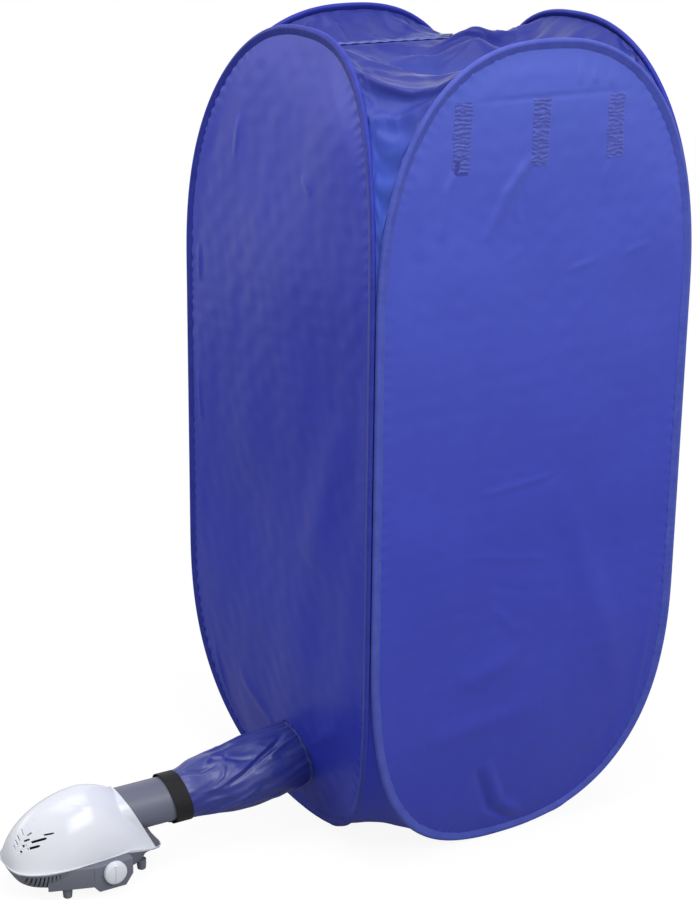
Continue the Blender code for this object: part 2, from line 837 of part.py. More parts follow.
def duct_sleeve(body):
    """The wrinkled cloth tube from the heater's outlet to the front panel."""
    sides = 2 * DUCT_PLEATS
    start_y = HEATER_Y + TUBE_END - STRAP_SETBACK - STRAP_WIDTH
    shape = bmesh.new()
    skins = []
    for skin in (CLOTH / 2, -CLOTH / 2):
        rings = []
        for index in range(DUCT_RINGS + 1):
            share = index / DUCT_RINGS
            radius, pleat = duct_section(share)
            past_neck = max(share - DUCT_NECK_SHARE, 0) / (1 - DUCT_NECK_SHARE)
            middle_z = TUBE_Z + (DUCT_Z - TUBE_Z) * smooth_step(past_neck)
            ring = []
            for step in range(sides):
                angle = 2 * math.pi * step / sides
                reach = radius + skin + (pleat if step % 2 else -pleat)
                x = HEATER_X + reach * math.sin(angle)
                z = middle_z + reach * math.cos(angle)
                start = start_y - STRAP_LEAN * math.cos(angle)
                y = start + (duct_front_y(z) - start) * share
                ring.append(shape.verts.new(Vector((x, y, z))))
            rings.append(ring)
        for lower, upper in zip(rings, rings[1:]):
            join_rings(shape, lower, upper)
        skins.append(rings)
    for end in (0, -1):
        join_rings(shape, skins[0][end], skins[1][end])
    return add("duct_sleeve", shape, blue_cloth(), body)


def duct_section(share):
    """Radius and pleat depth at a share of the way from the heater to the panel."""
    seam_share = 0.9
    if share <= DUCT_NECK_SHARE:
        return DUCT_NECK_RADIUS, DUCT_NECK_PLEAT
    swell = smooth_step((share - DUCT_NECK_SHARE) / (1 - DUCT_NECK_SHARE) * 2)
    radius = DUCT_NECK_RADIUS + (DUCT_RADIUS - DUCT_NECK_RADIUS) * swell
    pleat = DUCT_NECK_PLEAT * (1 - swell)
    if share > seam_share:
        radius = DUCT_SEAM_RADIUS
        pleat = DUCT_SEAM_PLEAT
    return radius, pleat


def duct_strap(body):
    """The black strap that grips the sleeve on the outlet tube, with its loose tail."""
    inner = DUCT_NECK_RADIUS + DUCT_NECK_PLEAT + CLOTH / 2 + GAP
    outer = inner + STRAP_THICKNESS
    end_y = HEATER_Y + TUBE_END - STRAP_SETBACK
    frame = frame_along(Vector((HEATER_X, end_y - STRAP_WIDTH, TUBE_Z)), (0, 1, 0))
    profile = [(inner, 0), (outer, 0), (outer, STRAP_WIDTH), (inner, STRAP_WIDTH)]
    shape = bmesh.new()
    turned(shape, profile, 2 * DUCT_PLEATS, frame, closed=True)
    oblique = Matrix.Identity(4)
    oblique[1][2] = -STRAP_LEAN / outer
    oblique = Matrix.Translation((0, 0, TUBE_Z)) @ oblique @ Matrix.Translation((0, 0, -TUBE_Z))
    bmesh.ops.transform(shape, matrix=oblique, verts=shape.verts)
    made = add("duct_strap", shape, dark_rubber(), body)
    tail = bmesh.new()
    low = Vector((HEATER_X - STRAP_TAIL / 2, end_y - STRAP_WIDTH, TUBE_Z - outer - STRAP_THICKNESS / 2))
    high = Vector((HEATER_X + STRAP_TAIL, end_y, TUBE_Z - outer + STRAP_THICKNESS / 2))
    box(tail, low, high)
    bmesh.ops.transform(tail, matrix=oblique, verts=tail.verts)
    boolean(made, cutter("strap_tail", tail, body), "UNION")
    return made


def front_panel_hole(target, body):
    shape = bmesh.new()
    frame = frame_along(Vector((HEATER_X, TENT_Y - HALF - OVERRUN, DUCT_Z)), (0, 1, 0))
    length = BOTTOM_BEND["front"] + 2 * OVERRUN
    turned(shape, [(DUCT_HOLE_RADIUS, 0), (DUCT_HOLE_RADIUS, length)], 2 * DUCT_PLEATS, frame)
    boolean(target, cutter("duct_hole", shape, body), "DIFFERENCE")


def oval_point(angle, half_width, reach, power, shrink=1.0):
    """A point of a squared oval that narrows to the rear; angle 0 points to the rear."""
    across = math.sin(angle)
    along = math.cos(angle)
    x = half_width * math.copysign(abs(across) ** (2 / power), across) * shrink
    y = reach * math.copysign(abs(along) ** (2 / power), along) * shrink
    behind = max(y - SHELL_TAPER_Y, 0) / (SHELL_REAR - SHELL_TAPER_Y)
    return x * (1 - SHELL_TAPER * behind), y


def plan_point(angle, inset, rise=0.0, shrink=1.0):
    """The dome's outline in plan at a share of its height; inset narrows it."""
    power = SHELL_PLAN_POWER + (CROWN_PLAN_POWER - SHELL_PLAN_POWER) * rise**CROWN_BLEND
    reach = SHELL_REAR if math.cos(angle) > 0 else SHELL_FRONT
    return oval_point(angle, SHELL_HALF_WIDTH - inset, reach - inset, power, shrink)


def base_point(angle, share, inset):
    """The base's outline in plan, from the dome's at share 0 to its own floor at share 1."""
    rear = math.cos(angle) > 0
    reach = mix(SHELL_REAR if rear else SHELL_FRONT, BASE_REAR if rear else BASE_FRONT, share)
    power = mix(SHELL_PLAN_POWER, BASE_POWER_REAR if rear else BASE_POWER_FRONT, share)
    half_width = mix(SHELL_HALF_WIDTH, BASE_HALF_WIDTH, share)
    return oval_point(angle, half_width - inset, reach - inset, power)


def mix(low, high, share):
    return low + (high - low) * share


def tail(turn):
    """How far the rim of the shells flares back and dips at the rear."""
    start = TIMER_BOX_HIGH_Y + TAIL_MARGIN
    y = plan_point(turn, 0)[1]
    flare = max((y - start) / (SHELL_REAR - start), 0) ** TAIL_POWER
    return Vector((0, TAIL_LENGTH * flare, -TAIL_DROP * flare))


def dome_rings(inset):
    """Points of the dome's surface, ring by ring from the rim to the crown."""
    rings = []
    for level_step in range(DOME_STEPS):
        angle = math.pi / 2 * level_step / DOME_STEPS
        ring = []
        for step in range(PLAN_STEPS):
            turn = 2 * math.pi * step / PLAN_STEPS
            power = mix(DOME_POWER_FRONT, DOME_POWER_REAR, (1 + math.cos(turn)) / 2)
            shrink = math.cos(angle) ** (2 / power)
            rise = math.sin(angle) ** (2 / power)
            x, y = plan_point(turn, inset, rise, shrink)
            height = (DOME_HEIGHT - inset) * rise
            share = max(1 - height / TAIL_HEIGHT, 0) ** 2
            ring.append(Vector((x, y, RIM_Z + height)) + tail(turn) * share)
        rings.append(ring)
    rings.append([Vector((0, 0, RIM_Z + DOME_HEIGHT - inset))])
    return rings


def dome_solid(inset):
    shape = bmesh.new()
    points = dome_rings(inset)
    points.insert(0, [Vector((point.x, point.y, BASE_BOTTOM)) for point in points[0]])
    rings = [[shape.verts.new(point) for point in ring] for ring in points]
    for lower, upper in zip(rings, rings[1:]):
        join_rings(shape, lower, upper)
    shape.faces.new(rings[0])
    return shape


def dome_cover(body):
    """The white upper shell, with its louvres, outlet arch and screw bosses."""
    shape = bmesh.new()
    outer = [[shape.verts.new(point) for point in ring] for ring in dome_rings(0)]
    inner = [[shape.verts.new(point) for point in ring] for ring in dome_rings(SHELL_WALL)]
    for rings in (outer, inner):
        for lower, upper in zip(rings, rings[1:]):
            join_rings(shape, lower, upper)
    join_rings(shape, outer[0], inner[0])
    made = add("dome_cover", shape, white_plastic(), body, HEATER_ORIGIN)
    bosses = cutter("dome_bosses", boss_columns(), body, HEATER_ORIGIN)
    boolean(bosses, cutter("dome_middle", dome_solid(SHELL_WALL / 2), body, HEATER_ORIGIN), "INTERSECT")
    boolean(made, bosses, "UNION")
    boolean(made, cutter("dome_cuts", dome_cuts(), body, HEATER_ORIGIN), "DIFFERENCE")
    return made


def boss_columns():
    shape = bmesh.new()
    low = BASE_BOTTOM + SHELL_WALL + GAP
    for x, y in SCREW_PLACES:
        frame = Matrix.Translation((x, y, 0))
        high = RIM_Z + DOME_HEIGHT
        turned(shape, [(BOSS_RADIUS, low), (BOSS_RADIUS, high)], 8, frame)
    return shape


def dome_cuts():
    """The outlet's hole, the screws' pilot holes and the louvres of the nose."""
    shape = bmesh.new()
    hole = frame_along(Vector((0, 0, TUBE_Z)), (0, 1, 0))
    length = SHELL_REAR + TAIL_LENGTH + OVERRUN
    turned(shape, [(TUBE_RADIUS + GAP, 0), (TUBE_RADIUS + GAP, length)], TUBE_SIDES, hole)
    for x, y in SCREW_PLACES:
        frame = Matrix.Translation((x, y, 0))
        profile = [(SCREW_RADIUS + GAP, BASE_BOTTOM), (SCREW_RADIUS + GAP, screw_tip() + GAP)]
        turned(shape, profile, 8, frame)
    for z in LOUVRE_ROWS_Z:
        for hand in (-1, 1):
            for near, far in (LOUVRE_SHORT, LOUVRE_LONG):
                low = (min(hand * near, hand * far), -SHELL_FRONT - OVERRUN, -LOUVRE_HEIGHT / 2)
                high = (max(hand * near, hand * far), LOUVRE_END_Y, LOUVRE_HEIGHT / 2)
                slot = box(shape, low, high)
                tilt = Matrix.Rotation(-hand * math.radians(LOUVRE_TILT_DEG), 4, "Y")
                place = Matrix.Translation((LOUVRE_SPINE_X, 0, z)) @ tilt
                bmesh.ops.transform(shape, matrix=place, verts=slot)
    return shape


def base_shell(body):
    """The grey lower shell: a tray with the timer's box, vents and holes."""
    shape = bmesh.new()
    outer = []
    inner = []
    for share, z in BASE_LEVELS:
        lift = SHELL_WALL if z == BASE_BOTTOM else 0
        outer.append(base_ring(shape, share, RIM_INSET, z))
        inner.append(base_ring(shape, share, RIM_INSET + SHELL_WALL, z + lift))
    for rings in (outer, inner):
        for lower, upper in zip(rings, rings[1:]):
            join_rings(shape, lower, upper)
        shape.faces.new(rings[-1])
    join_rings(shape, outer[0], inner[0])
    made = add("base_shell", shape, grey_plastic(), body, HEATER_ORIGIN)
    boolean(made, cutter("timer_box", timer_box(0), body, HEATER_ORIGIN), "UNION")
    boolean(made, cutter("timer_room", timer_box(SHELL_WALL), body, HEATER_ORIGIN), "DIFFERENCE")
    boolean(made, cutter("base_cuts", base_cuts(), body, HEATER_ORIGIN), "DIFFERENCE")
    return made


def base_ring(shape, share, inset, z):
    ring = []
    for step in range(PLAN_STEPS):
        turn = 2 * math.pi * step / PLAN_STEPS
        x, y = base_point(turn, share, inset)
        flare = tail(turn) if share == 0 else Vector()
        ring.append(shape.verts.new(Vector((x, y, z)) + flare))
    return ring


def base_wall_x(y, z):
    """The base's outer wall on the left at a place between its two upper levels."""
    (top_share, top), (step_share, step) = BASE_LEVELS[:2]
    down = (top - z) / (top - step)
    walls = []
    for share in (top_share, step_share):
        ring = [base_point(2 * math.pi * index / PLAN_STEPS, share, RIM_INSET) for index in range(PLAN_STEPS)]
        half = sorted((y, x) for x, y in ring[: PLAN_STEPS // 2 + 1])
        (y_low, x_low) = max(point for point in half if point[0] <= y)
        (y_high, x_high) = min(point for point in half if point[0] > y)
        walls.append(mix(x_low, x_high, (y - y_low) / (y_high - y_low)))
    return -mix(walls[0], walls[1], down)


def timer_box(inset):
    """The timer's housing on the right side; with an inset, the room inside it."""
    shape = bmesh.new()
    top = RIM_Z - GAP if inset == 0 else RIM_Z + OVERRUN
    low = (TIMER_BOX_FACE - TIMER_BOX_DEPTH - 2 * inset, TIMER_BOX_LOW_Y + inset, TIMER_BOX_BOTTOM + inset)
    high = (TIMER_BOX_FACE - inset, TIMER_BOX_HIGH_Y - inset, top)
    box(shape, low, high)
    return shape


def base_cuts():
    """Vents round both front flanks, and the holes for shaft, gland, screws and feet."""
    shape = bmesh.new()
    for hand in (-1, 1):
        for index in range(VENT_COUNT):
            y = VENT_FIRST_Y + VENT_PITCH * index
            low = (hand * SHELL_HALF_WIDTH / 4, y - VENT_WIDTH / 2, VENT_LOW)
            high = (hand * (SHELL_HALF_WIDTH + OVERRUN), y + VENT_WIDTH / 2, VENT_HIGH)
            box(shape, [min(a, b) for a, b in zip(low, high)], [max(a, b) for a, b in zip(low, high)])
    shaft = frame_along(Vector((TIMER_BOX_FACE - OVERRUN, KNOB_Y, KNOB_Z)), (1, 0, 0))
    turned(shape, [(TIMER_SHAFT_RADIUS + GAP, 0), (TIMER_SHAFT_RADIUS + GAP, 2 * OVERRUN)], 10, shaft)
    gland = frame_along(Vector((-SHELL_HALF_WIDTH - OVERRUN, GLAND_Y, GLAND_Z)), (1, 0, 0))
    turned(shape, [(GLAND_RADIUS + GAP, 0), (GLAND_RADIUS + GAP, 3 * OVERRUN)], 10, gland)
    for x, y in SCREW_PLACES:
        frame = Matrix.Translation((x, y, BASE_BOTTOM - OVERRUN))
        turned(shape, [(SCREW_RADIUS + GAP, 0), (SCREW_RADIUS + GAP, 2 * OVERRUN)], 8, frame)
    for x, y in FOOT_PLACES.values():
        frame = Matrix.Translation((x, y, BASE_BOTTOM - OVERRUN))
        turned(shape, [(FOOT_STUD_RADIUS + GAP, 0), (FOOT_STUD_RADIUS + GAP, 2 * OVERRUN)], 8, frame)
    return shape


def foot(name, x, y, body):
    """A rubber foot with a stud that plugs into the base."""
    top = BASE_BOTTOM - GAP
    profile = [(FOOT_SOLE_RADIUS, 0), (FOOT_RADIUS, top / 2), (FOOT_RADIUS, top)]
    profile += [(FOOT_STUD_RADIUS, top), (FOOT_STUD_RADIUS, top + FOOT_STUD_LENGTH)]
    shape = bmesh.new()
    turned(shape, profile, 12, Matrix.Translation((x, y, 0)))
    return add("foot_" + name, shape, grey_plastic(), body, HEATER_ORIGIN)


def screw_tip():
    return BASE_BOTTOM + SCREW_LENGTH


def cover_screw(number, x, y, body):
    """A screw from below, through the base into the dome's boss."""
    head_top = BASE_BOTTOM - GAP
    profile = [(SCREW_HEAD_RADIUS, head_top - SCREW_HEAD_HEIGHT), (SCREW_HEAD_RADIUS, head_top)]
    profile += [(SCREW_RADIUS, head_top), (SCREW_RADIUS, screw_tip())]
    shape = bmesh.new()
    turned(shape, profile, 8, Matrix.Translation((x, y, 0)))
    return add(f"cover_screw_{number}", shape, spring_steel(), body, HEATER_ORIGIN)


def outlet_tube(body):
    shape = bmesh.new()
    frame = frame_along(Vector((0, TUBE_START, TUBE_Z)), (0, 1, 0))
    bore = TUBE_RADIUS - TUBE_WALL
    length = TUBE_END - TUBE_START
    profile = [(bore, 0), (TUBE_RADIUS, 0), (TUBE_RADIUS, length), (bore, length)]
    turned(shape, profile, TUBE_SIDES, frame, closed=True)
    return add("outlet_tube", shape, grey_plastic(), body, HEATER_ORIGIN)


def motor_end():
    return MOTOR_FRONT + MOTOR_LENGTH


def fan_motor(body):
    shape = bmesh.new()
    frame = frame_along(Vector((0, MOTOR_FRONT, TUBE_Z)), (0, 1, 0))
    nose = MOTOR_RADIUS / 3
    bore = SHAFT_RADIUS + GAP
    profile = [(0, 0), (MOTOR_RADIUS, 0), (MOTOR_RADIUS, MOTOR_LENGTH), (nose, MOTOR_LENGTH)]
    profile += [(nose, MOTOR_LENGTH + nose / 2), (bore, MOTOR_LENGTH + nose / 2)]
    profile += [(bore, MOTOR_LENGTH / 2), (0, MOTOR_LENGTH / 2)]
    turned(shape, profile, MOTOR_SIDES, frame)
    return add("fan_motor", shape, spring_steel(), body, HEATER_ORIGIN)


def motor_bracket(body):
    """A post from the base that clasps the motor."""
    shape = bmesh.new()
    half = BRACKET_WIDTH / 2
    low = (-half, BRACKET_Y - BRACKET_THICKNESS / 2, BASE_BOTTOM + SHELL_WALL + GAP)
    high = (half, BRACKET_Y + BRACKET_THICKNESS / 2, TUBE_Z + half)
    box(shape, low, high)
    top = [edge for edge in shape.edges if all(v.co.z > TUBE_Z and abs(v.co.x) > 0 for v in edge.verts)]
    corners = [edge for edge in top if abs((edge.verts[0].co - edge.verts[1].co).x) < GAP]
    bmesh.ops.bevel(
        shape, geom=corners, offset=half / 3, segments=1, profile=0.5, affect="EDGES", material=-1
    )
    made = add("motor_bracket", shape, grey_plastic(), body, HEATER_ORIGIN)
    hole = bmesh.new()
    frame = frame_along(Vector((0, BRACKET_Y - OVERRUN, TUBE_Z)), (0, 1, 0))
    radius = MOTOR_RADIUS + GAP
    turned(hole, [(radius, 0), (radius, 2 * OVERRUN)], MOTOR_SIDES, frame)
    boolean(made, cutter("bracket_hole", hole, body, HEATER_ORIGIN), "DIFFERENCE")
    return made


def motor_shaft(body):
    start = MOTOR_FRONT + MOTOR_LENGTH / 2 + GAP
    end = IMPELLER_Y + HUB_LENGTH / 2 - HUB_CAP - GAP
    frame = frame_along(Vector((0, start, TUBE_Z)), (0, 1, 0))
    shape = bmesh.new()
    turned(shape, [(SHAFT_RADIUS, 0), (SHAFT_RADIUS, end - start)], 10, frame)
    return add("motor_shaft", shape, spring_steel(), body, HEATER_ORIGIN)


def fan_impeller(body):
    """Five pitched blades on a hub."""
    shape = bmesh.new()
    frame = frame_along(Vector((0, IMPELLER_Y - HUB_LENGTH / 2, TUBE_Z)), (0, 1, 0))
    bore = SHAFT_RADIUS + GAP
    end = HUB_LENGTH - HUB_CAP
    profile = [(bore, 0), (HUB_RADIUS, 0), (HUB_RADIUS, HUB_LENGTH), (0, HUB_LENGTH), (0, end), (bore, end)]
    turned(shape, profile, 15, frame, closed=True)
    made = add("fan_impeller", shape, dark_rubber(), body, HEATER_ORIGIN)
    blades = bmesh.new()
    half_width = BLADE_WIDTH / 2 * math.cos(math.radians(BLADE_PITCH_DEG))
    for index in range(BLADE_COUNT):
        low = (-BLADE_WIDTH / 2, -BLADE_THICKNESS / 2, HUB_RADIUS - 2 * BLADE_THICKNESS)
        reach = math.sqrt(IMPELLER_RADIUS**2 - half_width**2)
        blade = box(blades, low, (BLADE_WIDTH / 2, BLADE_THICKNESS / 2, reach))
        pitch = Matrix.Rotation(math.radians(BLADE_PITCH_DEG), 4, "Z")
        around = Matrix.Rotation(2 * math.pi * index / BLADE_COUNT, 4, "Y")
        place = Matrix.Translation((0, IMPELLER_Y, TUBE_Z)) @ around @ pitch
        bmesh.ops.transform(blades, matrix=place, verts=blade)
    boolean(made, cutter("impeller_blades", blades, body, HEATER_ORIGIN), "UNION")
    return made


def element_frame(body):
    """The ring in the outlet tube that holds the heating element."""
    radius = TUBE_RADIUS - TUBE_WALL - GAP
    shape = bmesh.new()
    frame = frame_along(Vector((0, FRAME_Y, TUBE_Z)), (0, 1, 0))
    turned(shape, [(radius, 0), (radius, FRAME_DEPTH)], TUBE_SIDES, frame)
    made = add("element_frame", shape, dark_rubber(), body, HEATER_ORIGIN)
    window = bmesh.new()
    half_x = ELEMENT_WIDTH / 2 + GAP
    half_z = ELEMENT_HEIGHT / 2 + GAP
    low = (-half_x, FRAME_Y - OVERRUN, TUBE_Z - half_z)
    high = (half_x, FRAME_Y + FRAME_DEPTH + OVERRUN, TUBE_Z + half_z)
    box(window, low, high)
    boolean(made, cutter("element_window", window, body, HEATER_ORIGIN), "DIFFERENCE")
    return made


def heating_element(body):
    """A finned ceramic block in the frame."""
    shape = bmesh.new()
    middle_y = FRAME_Y + FRAME_DEPTH / 2
    low = (-ELEMENT_WIDTH / 2, middle_y - ELEMENT_DEPTH / 2, TUBE_Z - ELEMENT_HEIGHT / 2)
    high = (ELEMENT_WIDTH / 2, middle_y + ELEMENT_DEPTH / 2, TUBE_Z + ELEMENT_HEIGHT / 2)
    box(shape, low, high)
    made = add("heating_element", shape, material("ceramic", (0.55, 0.5, 0.42), 0.7), body, HEATER_ORIGIN)
    grooves = bmesh.new()
    pitch = ELEMENT_WIDTH / ELEMENT_FINS
    for index in range(ELEMENT_FINS):
        x = -ELEMENT_WIDTH / 2 + pitch * (index + 0.5)
        half = (pitch - FIN_THICKNESS) / 2
        for face in (low[1], high[1]):
            box(
                grooves,
                (x - half, face - FIN_DEPTH, low[2] + FIN_DEPTH),
                (x + half, face + FIN_DEPTH, high[2] - FIN_DEPTH),
            )
    boolean(made, cutter("element_grooves", grooves, body, HEATER_ORIGIN), "DIFFERENCE")
    return made


def thermal_cutout(body):
    """The disc that breaks the circuit when the frame gets too hot."""
    y = FRAME_Y - GAP - CUTOUT_HEIGHT
    z = TUBE_Z + ELEMENT_HEIGHT / 2 + GAP + CUTOUT_RADIUS
    frame = frame_along(Vector((0, y, z)), (0, 1, 0))
    shape = bmesh.new()
    turned(shape, [(CUTOUT_RADIUS, 0), (CUTOUT_RADIUS, CUTOUT_HEIGHT)], 12, frame)
    return add("thermal_cutout", shape, spring_steel(), body, HEATER_ORIGIN)


def terminal_block(body):
    width, depth, height = TERMINAL_SIZE
    x, y = TERMINAL_PLACE
    low = Vector((x - width / 2, y - depth / 2, BASE_BOTTOM + SHELL_WALL + GAP))
    shape = bmesh.new()
    box(shape, low, low + Vector((width, depth, height)))
    return add("terminal_block", shape, white_plastic(), body, HEATER_ORIGIN)


def gland_wall_x():
    """The base wall's outer face where it stands out most under the gland's flange."""
    return base_wall_x(GLAND_Y - GLAND_FLANGE, GLAND_Z + GLAND_FLANGE)


def cord_gland(body):
    """The bush that a mains lead enters by, on the side away from the timer."""
    flange = gland_wall_x() - GAP - GLAND_FLANGE_THICKNESS
    frame = frame_along(Vector((flange, GLAND_Y, GLAND_Z)), (1, 0, 0))
    profile = [(GLAND_BORE, 0), (GLAND_FLANGE, 0), (GLAND_FLANGE, GLAND_FLANGE_THICKNESS)]
    profile += [(GLAND_RADIUS, GLAND_FLANGE_THICKNESS), (GLAND_RADIUS, GLAND_LENGTH)]
    profile += [(GLAND_BORE, GLAND_LENGTH)]
    shape = bmesh.new()
    turned(shape, profile, 10, frame, closed=True)
    return add("cord_gland", shape, dark_rubber(), body, HEATER_ORIGIN)


def timer_face():
    """The outer face of the timer's mechanism, behind the housing's wall."""
    return TIMER_BOX_FACE - SHELL_WALL - GAP


def timer_body(body):
    low = Vector((timer_face() - TIMER_DEPTH, KNOB_Y - TIMER_SIZE / 2, KNOB_Z - TIMER_SIZE / 2))
    high = Vector((timer_face(), KNOB_Y + TIMER_SIZE / 2, KNOB_Z + TIMER_SIZE / 2))
    high.z = min(high.z, RIM_Z - GAP)
    low.z = max(low.z, TIMER_BOX_BOTTOM + SHELL_WALL + GAP)
    shape = bmesh.new()
    box(shape, low, high)
    made = add("timer_body", shape, dark_rubber(), body, HEATER_ORIGIN)
    hole = bmesh.new()
    radius = TIMER_SHAFT_RADIUS + GAP
    frame = frame_along(Vector((timer_face() - TIMER_DEPTH / 2, KNOB_Y, KNOB_Z)), (1, 0, 0))
    turned(hole, [(radius, 0), (radius, TIMER_DEPTH)], 10, frame)
    boolean(made, cutter("timer_hole", hole, body, HEATER_ORIGIN), "DIFFERENCE")
    return made


def timer_shaft(body):
    start = timer_face() - TIMER_DEPTH / 2 + GAP
    end = TIMER_BOX_FACE + GAP + KNOB_THICKNESS / 2 - GAP
    frame = frame_along(Vector((start, KNOB_Y, KNOB_Z)), (1, 0, 0))
    shape = bmesh.new()
    turned(shape, [(TIMER_SHAFT_RADIUS, 0), (TIMER_SHAFT_RADIUS, end - start)], 10, frame)
    return add("timer_shaft", shape, spring_steel(), body, HEATER_ORIGIN)


def timer_knob(body):
    """A flat white disc with a raised grip bar and a socket for the shaft."""
    start = TIMER_BOX_FACE + GAP
    frame = frame_along(Vector((start, KNOB_Y, KNOB_Z)), (1, 0, 0))
    face = KNOB_THICKNESS - GRIP_HEIGHT
    bore = TIMER_SHAFT_RADIUS + GAP
    profile = [(bore, 0), (KNOB_RADIUS, 0), (KNOB_RADIUS, face - KNOB_RIM_STEP)]
    profile += [(KNOB_RIM_RADIUS, face), (0, face)]
    profile += [(0, KNOB_THICKNESS / 2), (bore, KNOB_THICKNESS / 2)]
    shape = bmesh.new()
    turned(shape, profile, 24, frame, closed=True)
    made = add("timer_knob", shape, white_plastic(), body, HEATER_ORIGIN)
    grip = bmesh.new()
    reach = KNOB_RIM_RADIUS - KNOB_RIM_STEP
    low = (start + face - GRIP_HEIGHT / 2, KNOB_Y - GRIP_WIDTH / 2, KNOB_Z - reach)
    high = (start + KNOB_THICKNESS, KNOB_Y + GRIP_WIDTH / 2, KNOB_Z + reach)
    box(grip, low, high)
    boolean(made, cutter("knob_grip", grip, body, HEATER_ORIGIN), "UNION")
    return made


def pivot(hand_x, hand_y):
    """The line that two neighbouring hoops turn about, where their sleeves touch."""
    return TENT_CENTRE + Vector((hand_x * PIVOT, hand_y * PIVOT, 0))


def build_tent(bodies):
    for side in SIDES:
        hoop_wire(side, bodies[side])
        hoop_ferrule(side, bodies[side])
        hoop_sleeve(side, bodies[side])
        cloth = panel(side, bodies[side])
        if side == "front":
            front_panel_hole(cloth, bodies[side])
    cover_part("top_cover_main", 1, bodies["front"])
    cover_part("top_cover_strip", -1, bodies["front"])
    floor_cloth(bodies["front"])
    zip_tape("zip_tape_main", 1, bodies["zip"])
    zip_tape("zip_tape_strip", -1, bodies["zip"])
    zip_slider(bodies["slider"])
    zip_pull(bodies["pull"])
    for number, y in enumerate(SLING_PLACES, start=1):
        rod_sling("right", number, y, bodies["right"])
        rod_sling("left", number, -y, bodies["left"])
        hanging_rod(number, y, bodies[f"rod_{number}"])
    duct_sleeve(bodies["front"])
    duct_strap(bodies["front"])


def build_heater(bodies):
    fixed = bodies["front"]
    dome_cover(fixed)
    base_shell(fixed)
    outlet_tube(fixed)
    for name, (x, y) in FOOT_PLACES.items():
        foot(name, x, y, fixed)
    for number, (x, y) in enumerate(SCREW_PLACES, start=1):
        cover_screw(number, x, y, fixed)
    fan_motor(fixed)
    motor_bracket(fixed)
    element_frame(fixed)
    heating_element(fixed)
    thermal_cutout(fixed)
    terminal_block(fixed)
    cord_gland(fixed)
    timer_body(fixed)
    motor_shaft(bodies["fan"])
    fan_impeller(bodies["fan"])
    timer_shaft(bodies["knob"])
    timer_knob(bodies["knob"])


def moving_bodies():
    """Empties on the joints' axes, named after the bodies that they carry."""
    bodies = {"front": empty_at("tent_root", ORIGIN)}
    bodies["right"] = empty_at("right_body", pivot(1, -1), bodies["front"])
    bodies["left"] = empty_at("left_body", pivot(-1, -1), bodies["front"])
    bodies["back"] = empty_at("back_body", pivot(1, 1), bodies["right"])
    zip_pivot = Vector((ZIP_X, -PIVOT, 0))
    bodies["zip"] = empty_at("zip_body", TENT_CENTRE + zip_pivot, bodies["front"])
    bodies["slider"] = empty_at("slider_body", slider_place(), bodies["zip"])
    bodies["pull"] = empty_at("pull_body", pull_hinge(), bodies["slider"])
    for number, y in enumerate(SLING_PLACES, start=1):
        place = TENT_CENTRE + Vector((rod_axis_x(), y, ROD_Z))
        bodies[f"rod_{number}"] = empty_at(f"rod_{number}_body", place, bodies["right"])
    fan_place = HEATER_ORIGIN + Vector((0, IMPELLER_Y, TUBE_Z))
    bodies["fan"] = empty_at("fan_body", fan_place, bodies["front"])
    knob_place = HEATER_ORIGIN + Vector((TIMER_BOX_FACE, KNOB_Y, KNOB_Z))
    bodies["knob"] = empty_at("knob_body", knob_place, bodies["front"])
    return bodies


def main():
    clear_scene()
    bodies = moving_bodies()
    build_tent(bodies)
    build_heater(bodies)
    bpy.context.view_layer.update()
    for name, body in bodies.items():
        print(name, [round(value, 5) for value in world_place(body)])


main()
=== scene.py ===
# %% [markdown]
# # A pop-up clothes dryer
# A tent of blue nylon stands on four tall spring hoops, and a small fan heater on the floor blows
# warm air into it through a cloth duct. The CAD model gives the frame: every sleeve, rod and motor
# has its true place there. This file dresses it. Cloth becomes thin wrinkled sheets, and the
# plastic shells get their rounded edges, slots and finish.

import math

import bmesh
import bpy
import numpy as np
from mathutils import Matrix, Vector


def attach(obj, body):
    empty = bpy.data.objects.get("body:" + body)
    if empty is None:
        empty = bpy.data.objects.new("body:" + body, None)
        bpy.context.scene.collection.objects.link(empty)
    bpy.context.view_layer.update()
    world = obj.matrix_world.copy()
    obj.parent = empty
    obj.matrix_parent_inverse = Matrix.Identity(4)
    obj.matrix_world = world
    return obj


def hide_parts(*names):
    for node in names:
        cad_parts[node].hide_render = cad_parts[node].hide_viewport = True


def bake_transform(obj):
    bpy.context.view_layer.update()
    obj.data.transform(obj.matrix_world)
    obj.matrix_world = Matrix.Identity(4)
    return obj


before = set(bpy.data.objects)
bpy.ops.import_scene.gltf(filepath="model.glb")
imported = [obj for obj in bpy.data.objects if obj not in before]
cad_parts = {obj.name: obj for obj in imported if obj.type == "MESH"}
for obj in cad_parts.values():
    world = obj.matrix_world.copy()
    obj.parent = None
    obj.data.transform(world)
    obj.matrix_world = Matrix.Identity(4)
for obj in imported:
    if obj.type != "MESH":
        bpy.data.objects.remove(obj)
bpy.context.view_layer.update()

# %% [markdown]
# ## The camera
# The photograph was taken from above one corner of the tent, with a long lens. A camera can be
# aimed by hand or placed by numbers. The numbers come from fitting the tent's corners and hoops
# to the photograph, so they are written down here and not tuned again.

# %% Camera
def camera_turn(yaw, pitch, roll):
    """The camera's axes: it looks down its own -Z, with +X to the right."""
    ahead = Vector((math.sin(yaw) * math.cos(pitch), math.cos(yaw) * math.cos(pitch), -math.sin(pitch)))
    level = Vector((math.cos(yaw), -math.sin(yaw), 0))
    upright = level.cross(ahead)
    right = level * math.cos(roll) + upright * math.sin(roll)
    up = upright * math.cos(roll) - level * math.sin(roll)
    return Matrix((right, up, -ahead)).transposed().to_4x4()


